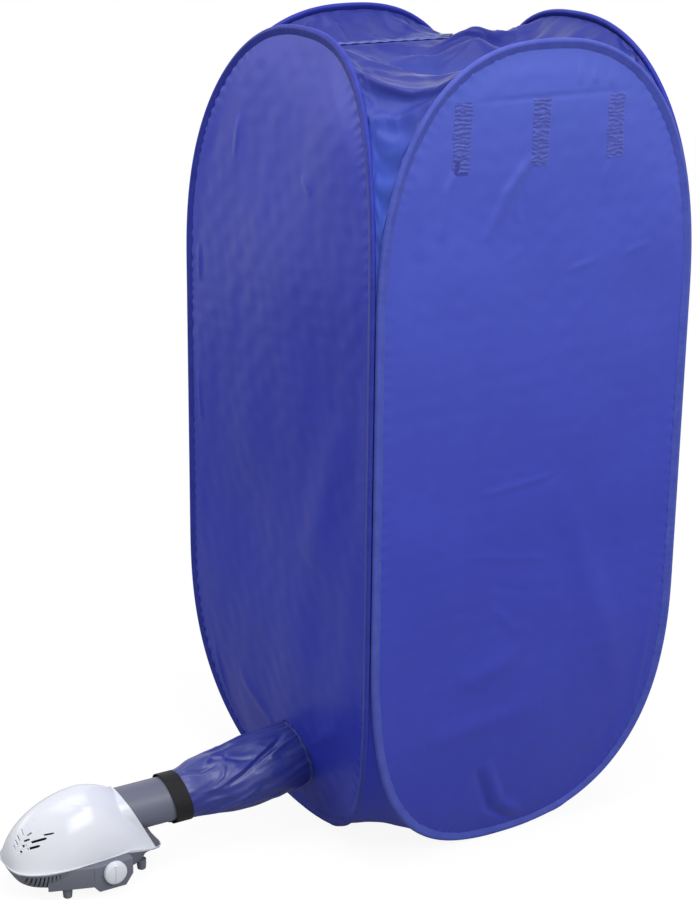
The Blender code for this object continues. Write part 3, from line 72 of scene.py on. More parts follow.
lens = bpy.data.cameras.new("photo_camera")
lens.lens = 82.244
lens.sensor_width = 36
camera = bpy.data.objects.new("photo_camera", lens)
bpy.context.scene.collection.objects.link(camera)
camera.matrix_world = Matrix.Translation((2.7659, -1.61185, 1.6888)) @ camera_turn(-1.0186, 0.3136, 0.0113)
bpy.context.scene.camera = camera
bpy.context.scene.view_settings.view_transform = "Standard"
print("camera at", [round(value, 3) for value in camera.matrix_world.translation])

# %% [markdown]
# ## Writing materials as sums
# A material is a small program of nodes. Wiring each Math node by hand hides the sum that it
# stands for, so one class wraps a socket and lets Python's own operators add the nodes. Another
# holds the material and has the one method that makes any other node.

# %% Shader helpers
class Value:
    """A socket that +, -, * and / add Math nodes to."""

    def __init__(self, finish, socket):
        self.finish = finish
        self.socket = socket

    def math(self, operation, first, second):
        made = self.finish.node("ShaderNodeMath", {"operation": operation}, {0: first, 1: second})
        return Value(self.finish, made.outputs[0])

    def __add__(self, other):
        return self.math("ADD", self, other)

    def __radd__(self, other):
        return self.math("ADD", other, self)

    def __sub__(self, other):
        return self.math("SUBTRACT", self, other)

    def __rsub__(self, other):
        return self.math("SUBTRACT", other, self)

    def __mul__(self, other):
        return self.math("MULTIPLY", self, other)

    def __rmul__(self, other):
        return self.math("MULTIPLY", other, self)

    def __truediv__(self, other):
        return self.math("DIVIDE", self, other)

    def __pow__(self, other):
        return self.math("POWER", self, other)


class Finish:
    """A material with a Principled shader, and the method that adds a node to it."""

    def __init__(self, name, colour, roughness, **constants):
        self.material = bpy.data.materials.new(name)
        self.material.use_nodes = True
        self.material.diffuse_color = (*colour, 1)
        self.tree = self.material.node_tree
        self.shader = self.tree.nodes["Principled BSDF"]
        self.put(self.shader.inputs["Base Color"], (*colour, 1))
        self.put(self.shader.inputs["Roughness"], roughness)
        for name, value in constants.items():
            self.put(self.shader.inputs[name.replace("_", " ").title().replace("Ior", "IOR")], value)

    def put(self, target, value):
        if isinstance(value, Value):
            value = value.socket
        if isinstance(value, bpy.types.NodeSocket):
            self.tree.links.new(value, target)
        else:
            target.default_value = value

    def node(self, kind, settings, sockets):
        """Add a node of a kind: its settings are set first, then its sockets are filled."""
        made = self.tree.nodes.new(kind)
        for name, value in settings.items():
            if name == "stops":
                for spot, (place, shade) in enumerate(value):
                    while len(made.color_ramp.elements) <= spot:
                        made.color_ramp.elements.new(1)
                    made.color_ramp.elements[spot].position = place
                    made.color_ramp.elements[spot].color = (shade, shade, shade, 1)
            else:
                setattr(made, name, value)
        for name, value in sockets.items():
            self.put(made.inputs[name], value)
        return made

    def place(self):
        """The object's own coordinates, as a vector and as its three parts."""
        vector = self.node("ShaderNodeTexCoord", {}, {}).outputs["Object"]
        parts = self.node("ShaderNodeSeparateXYZ", {}, {0: vector}).outputs
        return vector, [Value(self, part) for part in parts]

    def pattern(self):
        """The two directions of the piece's own map, in metres."""
        parts = self.node("ShaderNodeSeparateXYZ", {}, {0: self.node("ShaderNodeUVMap", {}, {}).outputs[0]})
        return [Value(self, part) for part in parts.outputs[:2]]

    def vector(self, x, y, z):
        return self.node("ShaderNodeCombineXYZ", {}, {0: x, 1: y, 2: z}).outputs[0]

    def clouds(self, vector, scale, detail=2.0, roughness=0.5):
        """Soft noise, with a value round 0.5."""
        sockets = {"Vector": vector, "Scale": scale, "Detail": detail, "Roughness": roughness}
        return Value(self, self.node("ShaderNodeTexNoise", {}, sockets).outputs[0])

    def math_one(self, operation, value):
        return Value(self, self.node("ShaderNodeMath", {"operation": operation}, {0: value}).outputs[0])

    def wave(self, phase):
        return self.math_one("SINE", phase)

    def ripple(self, place, pitch):
        """A sine with a pitch in metres."""
        return self.wave(place * (2 * math.pi / pitch))

    def ramp(self, value, *stops):
        """A value read off a ramp of (place, shade) stops."""
        made = self.node("ShaderNodeValToRGB", {"stops": stops}, {0: value})
        return Value(self, made.outputs[0])

    def tint(self, share, low, high):
        """A colour between two, by a share."""
        sockets = {0: share, 6: (*low, 1), 7: (*high, 1)}
        return self.node("ShaderNodeMix", {"data_type": "RGBA"}, sockets).outputs[2]

    def paint(self, socket):
        self.put(self.shader.inputs["Base Color"], socket)

    def emboss(self, height, distance, strength=1.0, under=None):
        """A bump of a height in shares of a distance in metres."""
        sockets = {"Height": height, "Distance": distance, "Strength": strength}
        if under is not None:
            sockets["Normal"] = under
        return self.node("ShaderNodeBump", {}, sockets).outputs[0]

    def set_normal(self, socket):
        self.put(self.shader.inputs["Normal"], socket)

    def roughen(self, noise, spread, middle):
        """Let the roughness vary by a noise round a middle value."""
        self.put(self.shader.inputs["Roughness"], noise * spread + (middle - spread / 2))


print("shader helpers ready")

# %% [markdown]
# ## Blue nylon
# The tent is thin calendered nylon: its threads are pressed flat, so it shines softly like satin.
# It could be a cloth shader or a plain glossy one. A Principled shader of middling roughness with
# a little sheen keeps the broad soft highlights of the photograph. Crinkles and faint streaks go
# into a bump, because they are far smaller than the mesh. In the photograph the right panel is paler
# towards its top and the slack cover is darker there, so these two mix in a third colour by height:
# this is painted light on the right panel and painted shade on the cover.

# %% Nylon
NYLON = (0.019, 0.032, 0.430)
NYLON_PALE = (0.033, 0.056, 0.540)
NYLON_ROUGHNESS = 0.34
THREAD_PITCH = 0.0011
PAINTED_RISE_SCALE = 1.4


def nylon(name, low=NYLON, high=NYLON_PALE, crinkle=1.0, top=None, shine=0.24, painted_rise_at=(0.39, 0.75, 0.95)):
    """Satin nylon on a side of the tent; x + y runs along any of the four sides."""
    finish = Finish(
        name, low, NYLON_ROUGHNESS, sheen_weight=0.03, sheen_roughness=0.4, specular_ior_level=shine
    )
    vector, (x, y, z) = finish.place()
    along = x + y
    tone = finish.clouds(vector, 2.2, 3.0)
    streaks = finish.clouds(finish.vector(along * 30, z * 1.6, 0.3), 1.0, 3.0, 0.6)
    share = finish.ramp(tone * 0.6 + streaks * 0.4, (0.30, 0.0), (0.72, 1.0))
    cloth = finish.tint(share * 0.45, low, high)
    # Above a height the colour mixes into a third one: painted light on the right panel, painted shade on the
    # cover.
    if top:
        rise = finish.ramp(z / PAINTED_RISE_SCALE, *zip(painted_rise_at, (0.0, 0.45, 1.0)))
        mixed = finish.node("ShaderNodeMix", {"data_type": "RGBA"}, {0: rise, 6: cloth, 7: (*top, 1)})
        cloth = mixed.outputs[2]
    finish.paint(cloth)
    fine = finish.clouds(vector, 55.0, 4.0, 0.55)
    soft = finish.clouds(vector, 5.0, 1.0, 0.4)
    pressed = finish.emboss(soft, 0.003 * crinkle, 0.15)
    crisp = finish.emboss(fine, 0.0008 * crinkle, 0.30, pressed)
    threads = finish.ripple(along, THREAD_PITCH) * finish.ripple(z, THREAD_PITCH)
    finish.set_normal(finish.emboss(threads, 0.00004, 0.35, crisp))
    finish.roughen(finish.clouds(vector, 14.0, 3.0), 0.10, NYLON_ROUGHNESS)
    return finish


panel_cloth = nylon("panel_nylon")
# The right panel's cloth is a lighter copy of the nylon, paler again towards its top: painted light.
right_painted_light_cloth = nylon("right_panel_painted_light_nylon", (0.040, 0.054, 0.43), (0.052, 0.072, 0.50), top=(0.082, 0.118, 0.53))
# The cover's colour is painted: its bright blue low in the corners is painted light, its dark top painted
# shade.
cover_cloth = nylon(
    "cover_nylon_painted_light_and_shade", (0.045, 0.085, 0.48), (0.065, 0.120, 0.58), 1.3, top=(0.026, 0.036, 0.25), shine=0.16,
    painted_rise_at=(0.80, 0.86, 0.91)
)
# The duct's cloth is a darker copy of the nylon: painted shade.
duct_painted_shade_nylon = nylon("duct_painted_shade_nylon", (0.020, 0.030, 0.23), (0.036, 0.054, 0.36), crinkle=1.6, shine=0.6)
print("nylon", panel_cloth.material.name, cover_cloth.material.name)

# %% [markdown]
# ## The binding and the sewn strips
# Each hoop runs in a folded tape of the same nylon, sewn on with a line of stitches. The rods
# inside hang in webbing that is sewn through the side panels: outside, it shows as three greyer
# strips, drawn up into tiny cross folds. Both follow the piece's own map, so that the stitches
# run along the tape round the whole arc. The right hoop's tape is paler, as its panel is: both
# carry painted light. The strips' colour is darker in the valleys of their folds and lighter on
# their crests, which is painted shade and light.

# %% Binding and strips
STITCH_LINES = (0.0050, 0.0340)
STITCH_PITCH = 0.0036


def tape(name, low, high):
    """Folded nylon tape with two lines of stitches along its map."""
    finish = Finish(name, low, 0.52, sheen_weight=0.04, sheen_roughness=0.5, specular_ior_level=0.2)
    along, across = finish.pattern()
    vector, _ = finish.place()
    tone = finish.clouds(vector, 40.0, 2.0)
    finish.paint(finish.tint(finish.ramp(tone, (0.3, 0.0), (0.7, 1.0)) * 0.6, low, high))
    pucker = finish.wave(along * (2 * math.pi / 0.013) + finish.clouds(vector, 30.0) * 6) * 0.5
    height = pucker * finish.clouds(vector, 12.0) * 0.6
    thread = finish.ramp(finish.ripple(along, STITCH_PITCH) * 0.5 + 0.5, (0.25, 0.0), (0.4, 1.0))
    for spot in STITCH_LINES:
        line = finish.ramp(finish.math_one("ABSOLUTE", across - spot) * 1000, (0.0, 1.0), (0.6, 0.0))
        height = height + line * (thread * 0.5 - 0.5)
    finish.set_normal(finish.emboss(height, 0.0007, 0.8))
    return finish


binding_cloth = tape("binding_nylon", (0.022, 0.033, 0.31), (0.038, 0.056, 0.42))
# The right hoop's tape is a paler copy: painted light.
painted_light_binding_cloth = tape("painted_light_binding_nylon", (0.058, 0.080, 0.42), (0.082, 0.115, 0.50))


def gathered(name, low, high):
    """Cloth drawn up into tiny cross folds, with painted shade in their valleys."""
    finish = Finish(name, low, 0.5, sheen_weight=0.3, sheen_roughness=0.5, specular_ior_level=0.35)
    across, along = finish.pattern()
    vector, _ = finish.place()
    drift = finish.clouds(vector, 60.0, 3.0)
    folds = finish.wave(along * (2 * math.pi / 0.0065) + drift * 14) * 0.5 + 0.5
    # The colour follows the folds: darker in their valleys, lighter on their crests, which is painted shade
    # and light.
    share = finish.ramp(folds * 0.6 + drift * 0.4, (0.25, 0.0), (0.75, 1.0))
    finish.paint(finish.tint(share, low, high))
    finish.set_normal(finish.emboss(folds + drift * 1.4, 0.0008, 0.6))
    return finish


strip_cloth = gathered("strip_nylon", (0.040, 0.055, 0.34), (0.062, 0.088, 0.45))
print("tape", binding_cloth.material.name, strip_cloth.material.name)

# %% [markdown]
# ## Plastics, strap and metal
# The dome is glossy white plastic, the base and the outlet are moulded grey with a fine spark
# texture, and the strap is black woven webbing. Each is one shader with a small bump at the size
# of its own grain.

# %% Hard finishes
def moulded(name, low, high, roughness, grain, depth):
    """Moulded plastic with a spark texture of a grain in metres."""
    finish = Finish(name, low, roughness, specular_ior_level=0.5)
    vector, _ = finish.place()
    finish.paint(finish.tint(finish.clouds(vector, 18.0, 3.0), low, high))
    spark = finish.clouds(vector, 1 / grain, 2.0, 0.6)
    swell = finish.clouds(vector, 9.0, 1.0)
    flat = finish.emboss(swell, 0.0010, 0.25)
    finish.set_normal(finish.emboss(spark, depth, 0.5, flat))
    finish.roughen(finish.clouds(vector, 70.0, 3.0), 0.12, roughness)
    return finish


white_gloss = moulded("white_gloss", (0.79, 0.815, 0.885), (0.83, 0.85, 0.915), 0.20, 0.004, 0.00005)
grey_matt = moulded("grey_matt", (0.150, 0.162, 0.205), (0.172, 0.184, 0.228), 0.46, 0.0007, 0.00018)
tube_matt = moulded("tube_matt", (0.138, 0.146, 0.205), (0.160, 0.170, 0.230), 0.42, 0.0012, 0.00010)
black_moulded = moulded("black_moulded", (0.018, 0.018, 0.020), (0.030, 0.030, 0.033), 0.5, 0.0008, 0.00015)
ceramic_grey = moulded("fired_ceramic", (0.50, 0.46, 0.38), (0.58, 0.53, 0.45), 0.75, 0.0009, 0.00030)


def brushed(name, colour, roughness):
    """Drawn or brushed steel, with fine lines along it."""
    finish = Finish(name, colour, roughness, metallic=1.0)
    vector, (x, y, z) = finish.place()
    lines = finish.clouds(finish.vector(x * 3000, y * 120, z * 3000), 1.0, 2.0)
    finish.set_normal(finish.emboss(lines, 0.00004, 0.5))
    finish.put(finish.shader.inputs["Roughness"], lines * 0.15 + (roughness - 0.07))
    finish.paint(finish.tint(finish.clouds(vector, 30.0), colour, [part * 0.9 for part in colour]))
    return finish


steel = brushed("drawn_steel", (0.62, 0.62, 0.63), 0.32)


def woven(finish, low, high, across, along, pitch, depth):
    """Cover a finish with ribs across a webbing and its picks along it."""
    ribs = finish.ripple(across, pitch)
    picks = finish.wave(along * (2 * math.pi / (pitch * 0.8)) + ribs * 1.5)
    share = ribs * 0.25 + picks * 0.25 + 0.5
    finish.paint(finish.tint(share, low, high))
    finish.set_normal(finish.emboss(share, depth, 0.8))
    return finish


def webbing(name, low, high, pitch):
    """Webbing on a piece with its own map."""
    finish = Finish(name, low, 0.62, sheen_weight=0.03, sheen_roughness=0.5, specular_ior_level=0.3)
    along, across = finish.pattern()
    return woven(finish, low, high, across, along, pitch, 0.0003)


def ribbed(name, low, high, pitch):
    """Webbing on a piece without a map: ribs across X and Y, picks along Z."""
    finish = Finish(name, low, 0.60, sheen_weight=0.05, specular_ior_level=0.3)
    _, (x, y, z) = finish.place()
    return woven(finish, low, high, y + x, z, pitch, 0.0002)


strap_weave = webbing("strap_weave", (0.006, 0.006, 0.006), (0.014, 0.014, 0.015), 0.0016)
sling_weave = ribbed("sling_weave", (0.022, 0.030, 0.24), (0.040, 0.055, 0.36), 0.0014)
# The zip's tapes and teeth are paler copies of the blue: painted light.
zip_weave_painted_light = ribbed("zip_weave_painted_light", (0.085, 0.120, 0.44), (0.120, 0.165, 0.52), 0.0010)
zip_nylon_painted_light = moulded("zip_nylon_painted_light", (0.085, 0.115, 0.42), (0.120, 0.150, 0.48), 0.38, 0.0010, 0.00005)
print("hard finishes", white_gloss.material.name, grey_matt.material.name, steel.material.name)

# %% [markdown]
# ## Lofted grids
# Most of the object is a sheet bent to a formula: a panel, a sleeve, a shell. A grid is the
# simplest start, because its points carry two shares, u and v, from 0 to 1. One helper makes the
# grid, keeps the shares as its map in metres, moves each point to its place, and closes the seam
# where u comes round to its start.

# %% Loft
def loft(columns, rows, place, map_size):
    """A grid whose points go to place(u, v); both are arrays of shares."""
    shape = bmesh.new()
    bmesh.ops.create_grid(shape, x_segments=columns, y_segments=rows, size=0.5)
    shares = np.array([point.co for point in shape.verts])[:, :2] + 0.5
    chart = shape.loops.layers.uv.new("map")
    scaled = shares * np.array(map_size)
    shape.verts.index_update()
    for face in shape.faces:
        for corner in face.loops:
            corner[chart].uv = scaled[corner.vert.index]
    for point, spot in zip(shape.verts, place(shares[:, 0], shares[:, 1])):
        point.co = spot
    bmesh.ops.remove_doubles(shape, verts=shape.verts, dist=1e-6)
    bmesh.ops.dissolve_degenerate(shape, dist=1e-7, edges=shape.edges)
    bmesh.ops.recalc_face_normals(shape, faces=shape.faces)
    return shape


def as_object(name, shape):
    """Turn a shape into an object of the scene."""
    mesh = bpy.data.meshes.new(name)
    shape.to_mesh(mesh)
    shape.free()
    made = bpy.data.objects.new(name, mesh)
    bpy.context.scene.collection.objects.link(made)
    return made


def applied(made):
    """Make an object's modifiers part of its mesh."""
    made.data = bpy.data.meshes.new_from_object(made.evaluated_get(bpy.context.evaluated_depsgraph_get()))
    made.modifiers.clear()
    return made


def piece(name, shape, finish, body, replaced=()):
    """Make an object of a shape, give it its finish and let it ride on a body."""
    made = as_object(name, shape)
    made.data.materials.append(finish.material)
    made.data.shade_smooth()
    if body:
        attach(made, body)
    if replaced:
        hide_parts(*replaced)
    return made


def smooth_step(value):
    value = np.clip(value, 0, 1)
    return value * value * (3 - 2 * value)


def swell(x, z, length, seed, count=14):
    """Soft random waves of about one length in metres, from -1 to 1, the same at each run."""
    random = np.random.default_rng(seed)
    total = np.zeros_like(x)
    for _ in range(count):
        turn, phase = random.uniform(0, 2 * math.pi, 2)
        size = length * random.uniform(0.7, 1.5)
        total += np.sin((x * math.cos(turn) + z * math.sin(turn)) * 2 * math.pi / size + phase)
    return total / math.sqrt(count)


print("loft helper ready")

# %% [markdown]
# ## The hoops' line
# Every side of the tent is the same tall oval: a superellipse arc at the bottom, a straight
# stretch and another arc at the top. At top and bottom the hoops lean inwards. The formulas are
# those of the CAD model, sampled more finely, because both have to agree to a millimetre.

# %% Hoop line
HALF = 0.300
TENT_Y = 0.25025
HOOP_HALF_WIDTH = 0.2932825
TOP_START_Z = 0.9115
TOP_ARC_HEIGHT = 0.418
TOP_ARC_POWER = 2.44
BOTTOM_START_Z = 0.4325
BOTTOM_ARC_HEIGHT = 0.428
BOTTOM_ARC_POWER = 2.54
BEND_POWER = 2.4
TOP_BEND = {"front": 0.052, "right": 0.001, "back": 0.026, "left": 0.029}
BOTTOM_BEND = {"front": 0.058, "right": 0.052, "back": 0.055, "left": 0.055}
SIDES = ("front", "right", "back", "left")


def bend(side, z):
    """How far a hoop leans into the tent at a height."""
    top = np.clip((z - TOP_START_Z) / TOP_ARC_HEIGHT, 0, 1) ** BEND_POWER
    bottom = np.clip((BOTTOM_START_Z - z) / BOTTOM_ARC_HEIGHT, 0, 1) ** BEND_POWER
    return TOP_BEND[side] * top + BOTTOM_BEND[side] * bottom


def half_outline(steps=600):
    """The right half of the oval, from its lowest point to its apex."""
    angle = np.linspace(0, math.pi / 2, steps)
    across = np.sin(angle)
    up = np.maximum(np.cos(angle), 0)
    low_s = HOOP_HALF_WIDTH * across ** (2 / BOTTOM_ARC_POWER)
    low_z = BOTTOM_START_Z - BOTTOM_ARC_HEIGHT * up ** (2 / BOTTOM_ARC_POWER)
    top_s = (HOOP_HALF_WIDTH * across ** (2 / TOP_ARC_POWER))[::-1]
    top_z = (TOP_START_Z + TOP_ARC_HEIGHT * up ** (2 / TOP_ARC_POWER))[::-1]
    return np.concatenate([low_s, top_s]), np.concatenate([low_z, top_z])


half_s, half_z = half_outline()
loop_s = np.concatenate([half_s, -half_s[-2:0:-1], half_s[:1]])
loop_z = np.concatenate([half_z, half_z[-2:0:-1], half_z[:1]])
run = np.concatenate([[0], np.cumsum(np.hypot(np.diff(loop_s), np.diff(loop_z)))])
GIRTH = run[-1]


def on_loop(turn):
    """Places (s, z) at shares of the way round the hoop, from its lowest point."""
    spot = np.mod(turn, 1.0) * GIRTH
    return np.interp(spot, run, loop_s), np.interp(spot, run, loop_z)


def inwards(turn):
    """The direction, in the side's plane, from the hoop to the middle of its panel."""
    s_before, z_before = on_loop(turn - 0.003)
    s_after, z_after = on_loop(turn + 0.003)
    length = np.hypot(s_after - s_before, z_after - z_before)
    return -(z_after - z_before) / length, (s_after - s_before) / length


def side_place(side, s, depth, z):
    """Points on a side: s along it, and depth into the tent from its leaning cloth."""
    y = -HALF + bend(side, z) + depth
    quarter = SIDES.index(side)
    cos, sin = (1, 0, -1, 0)[quarter], (0, 1, 0, -1)[quarter]
    return np.stack([s * cos - y * sin, s * sin + y * cos + TENT_Y, z], axis=1)


print("hoop girth", round(float(GIRTH), 3), "m")

# %% [markdown]
# ## The bindings
# The bound edge is the strongest line of the photograph: a round tube with the wire inside, and
# the flat hem that joins it to the panel. It is one profile, a circle that runs out into a thin
# tongue, carried round the loop. The tube swells a little where the wire's crimped ferrule lies.

# %% Bindings
TUBE = 0.00435
TONGUE = 0.0112
PROFILE_STEPS = 18
FERRULE_STEP = np.interp(0.0204, half_z[:600], np.arange(600))
FERRULE_TURN = float(np.interp(FERRULE_STEP, np.arange(600), run[:600]) / GIRTH)


def binding_profile():
    """Points of the section as (inwards, outwards), once round from the tongue's inner face."""
    angles = np.linspace(math.radians(24), math.radians(336), PROFILE_STEPS - 3)
    ring = [(TUBE * math.cos(angle), TUBE * math.sin(angle)) for angle in angles]
    return np.array([(TONGUE, 0.0005), *ring, (TONGUE, -0.0005), (TONGUE + 0.0002, 0)])


def binding(side, seed):
    """The bound edge of one side."""
    section = binding_profile()
    columns = 560

    def place(u, v):
        index = np.rint(v * PROFILE_STEPS).astype(int) % PROFILE_STEPS
        inward = section[index, 0]
        outward = section[index, 1]
        s, z = on_loop(u)
        in_s, in_z = inwards(u)
        along = u * GIRTH
        flat = np.clip((inward - 0.004) / 0.006, 0, 1)
        ruffle = np.sin(along * 2 * math.pi / 0.016 + 2 * swell(along, along * 0, 0.2, seed))
        patchy = 0.5 + 0.5 * swell(along, along * 0, 0.35, seed + 1)
        outward = outward + flat * 0.00035 * ruffle * np.clip(patchy, 0, 1)
        inward = inward + flat * 0.0005 * swell(along, along * 0, 0.06, seed + 2)
        near = np.mod(u - FERRULE_TURN + 0.5, 1) - 0.5
        grow = 1 + 0.24 * np.exp(-((near * GIRTH / 0.014) ** 4)) * (1 - flat)
        return side_place(side, s + in_s * inward * grow, -outward * grow, z + in_z * inward * grow)

    shape = loft(columns, PROFILE_STEPS, place, (GIRTH, 0.039))
    # The right hoop takes the tape with painted light.
    finish = painted_light_binding_cloth if side == "right" else binding_cloth
    made = piece("binding_" + side, shape, finish, side, ["hoop_sleeve_" + side])
    return made


bindings = [binding(side, 40 + 5 * number) for number, side in enumerate(SIDES)]
print("bindings", len(bindings))

# %% [markdown]
# ## The panels
# A panel is one piece of nylon stretched in its hoop. It isn't flat: it puckers where the binding
# draws it in, sags in broad soft folds, and keeps creases from being folded away. A cloth
# simulation gives loose folds, but these are pressed creases at known places. So each panel is a
# net of spokes and rings, and its relief is written down: broad swells, puckers at the rim, and
# the main creases of the photograph as lines with a width and a height.

# %% Panels
SPOKES = 600
RINGS = 58
CREASE_GAIN, CREASE_SHARE = 1.5, 0.85


def crease_height(s, z, line, width, height):
    """A ridge along a line of (s, z) points that fades out at both ends."""
    points = np.array(line, float)
    lengths = np.hypot(*np.diff(points, axis=0).T)
    whole = lengths.sum()
    start = 0.0
    best = np.full_like(s, 1e9)
    share = np.zeros_like(s)
    for (s0, z0), (s1, z1), length in zip(points[:-1], points[1:], lengths):
        along = np.clip(((s - s0) * (s1 - s0) + (z - z0) * (z1 - z0)) / length**2, 0, 1)
        away = np.hypot(s - s0 - along * (s1 - s0), z - z0 - along * (z1 - z0))
        nearer = away < best
        best = np.where(nearer, away, best)
        share = np.where(nearer, (start + along * length) / whole, share)
        start += length
    taper = np.clip(4 * share * (1 - share), 0, 1) ** 0.5
    return height * np.exp(-((best / width) ** 2)) * taper


def relief(s, z, away, turn, seed, creases):
    """How far the cloth stands out at a place that is away from the rim."""
    out = 0.0026 * swell(s, z, 0.42, seed) + 0.0010 * swell(s, z, 0.16, seed + 1)
    out += 0.00022 * swell(s, z * 0.22, 0.07, seed + 2)
    out += 0.00025 * swell(s, z, 0.035, seed + 3)
    for line, width, height in creases:
        out += CREASE_GAIN * crease_height(s, z, line, width * CREASE_SHARE, height)
    out *= smooth_step(away / 0.045)
    along = turn * GIRTH
    patchy = np.clip(0.45 + 0.6 * swell(along, along * 0, 0.4, seed + 4), 0, 1)
    phase = along * 2 * math.pi / 0.021 + 2.5 * swell(along, along * 0, 0.15, seed + 5)
    rim = np.exp(-((away - 0.008) / 0.013) ** 2)
    out += 0.0009 * patchy * rim * np.sin(phase)
    return out


def panel_net(side, seed, creases):
    """The net of one panel, from its middle line to its rim."""
    def place(u, v):
        s, z = on_loop(u)
        in_s, in_z = inwards(u)
        s, z = s + in_s * 0.0048, z + in_z * 0.0048
        middle = 0.67 + (z - 0.67) * 0.70
        reach = 1 - (1 - v) ** 1.35
        here_s = s * reach
        here_z = middle + (z - middle) * reach
        away = np.hypot(s - here_s, z - here_z)
        out = relief(here_s, here_z, away, u, seed, creases)
        if side == "left":
            beside = smooth_step((here_z - 1.115) / 0.020) * smooth_step((1.275 - here_z) / 0.020)
            out = out + beside * np.maximum(0.0016 - out, 0) * smooth_step((0.21 - np.abs(here_s)) / 0.03)
        return side_place(side, here_s, -out, here_z)

    shape = loft(SPOKES, RINGS, place, (GIRTH, 0.3))
    bmesh.ops.remove_doubles(shape, verts=shape.verts, dist=0.0006)
    return shape


RIGHT_CREASES = (
    (((-0.165, 1.147), (-0.176, 1.123), (-0.185, 1.047)), 0.007, 0.0024),
    (((-0.025, 1.152), (-0.037, 1.110), (-0.038, 1.067)), 0.006, -0.0020),
    (((-0.028, 1.161), (-0.071, 1.108), (-0.103, 1.036)), 0.009, 0.0030),
    (((0.120, 1.143), (0.117, 1.100)), 0.006, 0.0016),
    (((-0.225, 1.200), (-0.222, 1.020)), 0.014, 0.0022),
    (((-0.067, 0.997), (-0.036, 1.023)), 0.005, 0.0010),
    (((0.049, 0.976), (0.114, 0.989)), 0.005, 0.0012),
    (((0.159, 0.994), (0.211, 1.006)), 0.005, 0.0012),
    (((0.195, 1.236), (0.208, 1.212)), 0.007, 0.0026),
    (((0.250, 1.102), (0.269, 1.061)), 0.007, 0.0022),
    (((-0.080, 0.152), (-0.038, 0.060), (0.023, 0.012)), 0.008, -0.0034),
    (((-0.062, 0.160), (-0.022, 0.075), (0.040, 0.020)), 0.012, 0.0036),
    (((0.270, 0.426), (0.250, 0.317), (0.240, 0.173), (0.190, 0.118), (0.183, 0.091)), 0.009, 0.0026),
    (((-0.100, 0.635), (0.047, 0.648)), 0.006, 0.0011),
    (((-0.128, 0.538), (0.026, 0.508)), 0.006, 0.0012),
    (((-0.078, 0.480), (0.001, 0.455)), 0.006, -0.0010),
    (((-0.082, 0.452), (-0.050, 0.420), (-0.013, 0.384)), 0.006, 0.0013),
    (((0.047, 0.643), (0.154, 0.379), (0.193, 0.240)), 0.030, 0.0036),
    (((-0.130, 0.316), (-0.016, 0.350)), 0.022, 0.0024),
    (((-0.182, 0.227), (0.038, 0.251)), 0.026, 0.0030),
    (((0.060, 1.310), (0.056, 1.262)), 0.006, 0.0016),
    (((0.090, 1.312), (0.086, 1.262)), 0.006, 0.0016),
    (((0.122, 1.300), (0.116, 1.258)), 0.006, 0.0014),
    (((-0.131, 1.248), (0.020, 1.249), (0.176, 1.248)), 0.0035, -0.0012),
)
FRONT_CREASES = (
    (((-0.147, 1.180), (-0.151, 1.110)), 0.006, 0.0014),
    (((0.070, 1.116), (0.104, 1.092)), 0.006, 0.0012),
    (((-0.257, 0.950), (-0.254, 0.890)), 0.008, 0.0020),
    (((-0.262, 0.730), (-0.252, 0.640)), 0.008, 0.0018),
    (((-0.232, 0.230), (-0.221, 0.163), (-0.202, 0.064)), 0.009, 0.0026),
    (((0.100, 0.170), (0.200, 0.240)), 0.016, 0.0022),
    (((-0.040, 0.150), (-0.140, 0.210)), 0.014, 0.0020),
    (((0.120, 0.500), (0.200, 0.760)), 0.040, 0.0026),
)
PLAIN_CREASES = (
    (((-0.120, 1.180), (-0.060, 1.020)), 0.010, 0.0020),
    (((0.090, 0.940), (0.170, 0.900)), 0.008, 0.0016),
    (((-0.200, 0.520), (-0.060, 0.470)), 0.020, 0.0026),
    (((0.030, 0.330), (0.180, 0.250)), 0.018, 0.0026),
    (((-0.150, 0.180), (-0.080, 0.070)), 0.010, 0.0024),
    (((0.210, 1.200), (0.235, 1.120)), 0.008, 0.0022),
)
creases_of = {"front": FRONT_CREASES, "right": RIGHT_CREASES, "back": PLAIN_CREASES, "left": PLAIN_CREASES}
panel_seeds = {"front": 3, "right": 11, "back": 23, "left": 31}

# %% [markdown]
# The duct blows through a round hole low in the front panel. The hole's rim could be cut with a
# Boolean, but on an open sheet it is simpler to remove the faces inside the circle after cutting
# the net along it: the points close to the circle are moved onto it.

# %% Panels' hole and objects
HEATER = Vector((0.025, -0.41675, 0))
DUCT_Z = 0.123
HOLE_RADIUS = 0.050


def open_hole(shape):
    """Move the net's points near the circle onto it, and take away what lies inside."""
    for point in shape.verts:
        away = math.hypot(point.co.x - HEATER.x, point.co.z - DUCT_Z)
        if abs(away - HOLE_RADIUS) < 0.0045 and away > 0:
            point.co.x = HEATER.x + (point.co.x - HEATER.x) * HOLE_RADIUS / away
            point.co.z = DUCT_Z + (point.co.z - DUCT_Z) * HOLE_RADIUS / away
    inside = []
    for face in shape.faces:
        middle = face.calc_center_median()
        if math.hypot(middle.x - HEATER.x, middle.z - DUCT_Z) < HOLE_RADIUS - 0.0005:
            inside.append(face)
    bmesh.ops.delete(shape, geom=inside, context="FACES")


def panel(side):
    shape = panel_net(side, panel_seeds[side], creases_of[side])
    if side == "front":
        open_hole(shape)
    # The right panel takes the copy of the nylon with painted light.
    finish = right_painted_light_cloth if side == "right" else panel_cloth
    made = piece("panel_cloth_" + side, shape, finish, side, ["panel_" + side])
    return made


panels = [panel(side) for side in SIDES]
print("panel faces", [len(made.data.polygons) for made in panels])

# %% [markdown]
# ## The three sewn strips
# The webbing inside is sewn through the panel along two rows, and the thread draws the cloth up.
# The strip is a narrow sheet of its own that lies on the panel: a finer grid can take the small
# cross folds, and its greyer finish ends cleanly at its edges.

# %% Strips
def relief_right(s, z):
    """The right panel's relief without its rim, for what lies on it."""
    far = np.full_like(s, 1.0)
    return relief(s, z, far, np.zeros_like(s), panel_seeds["right"], RIGHT_CREASES)


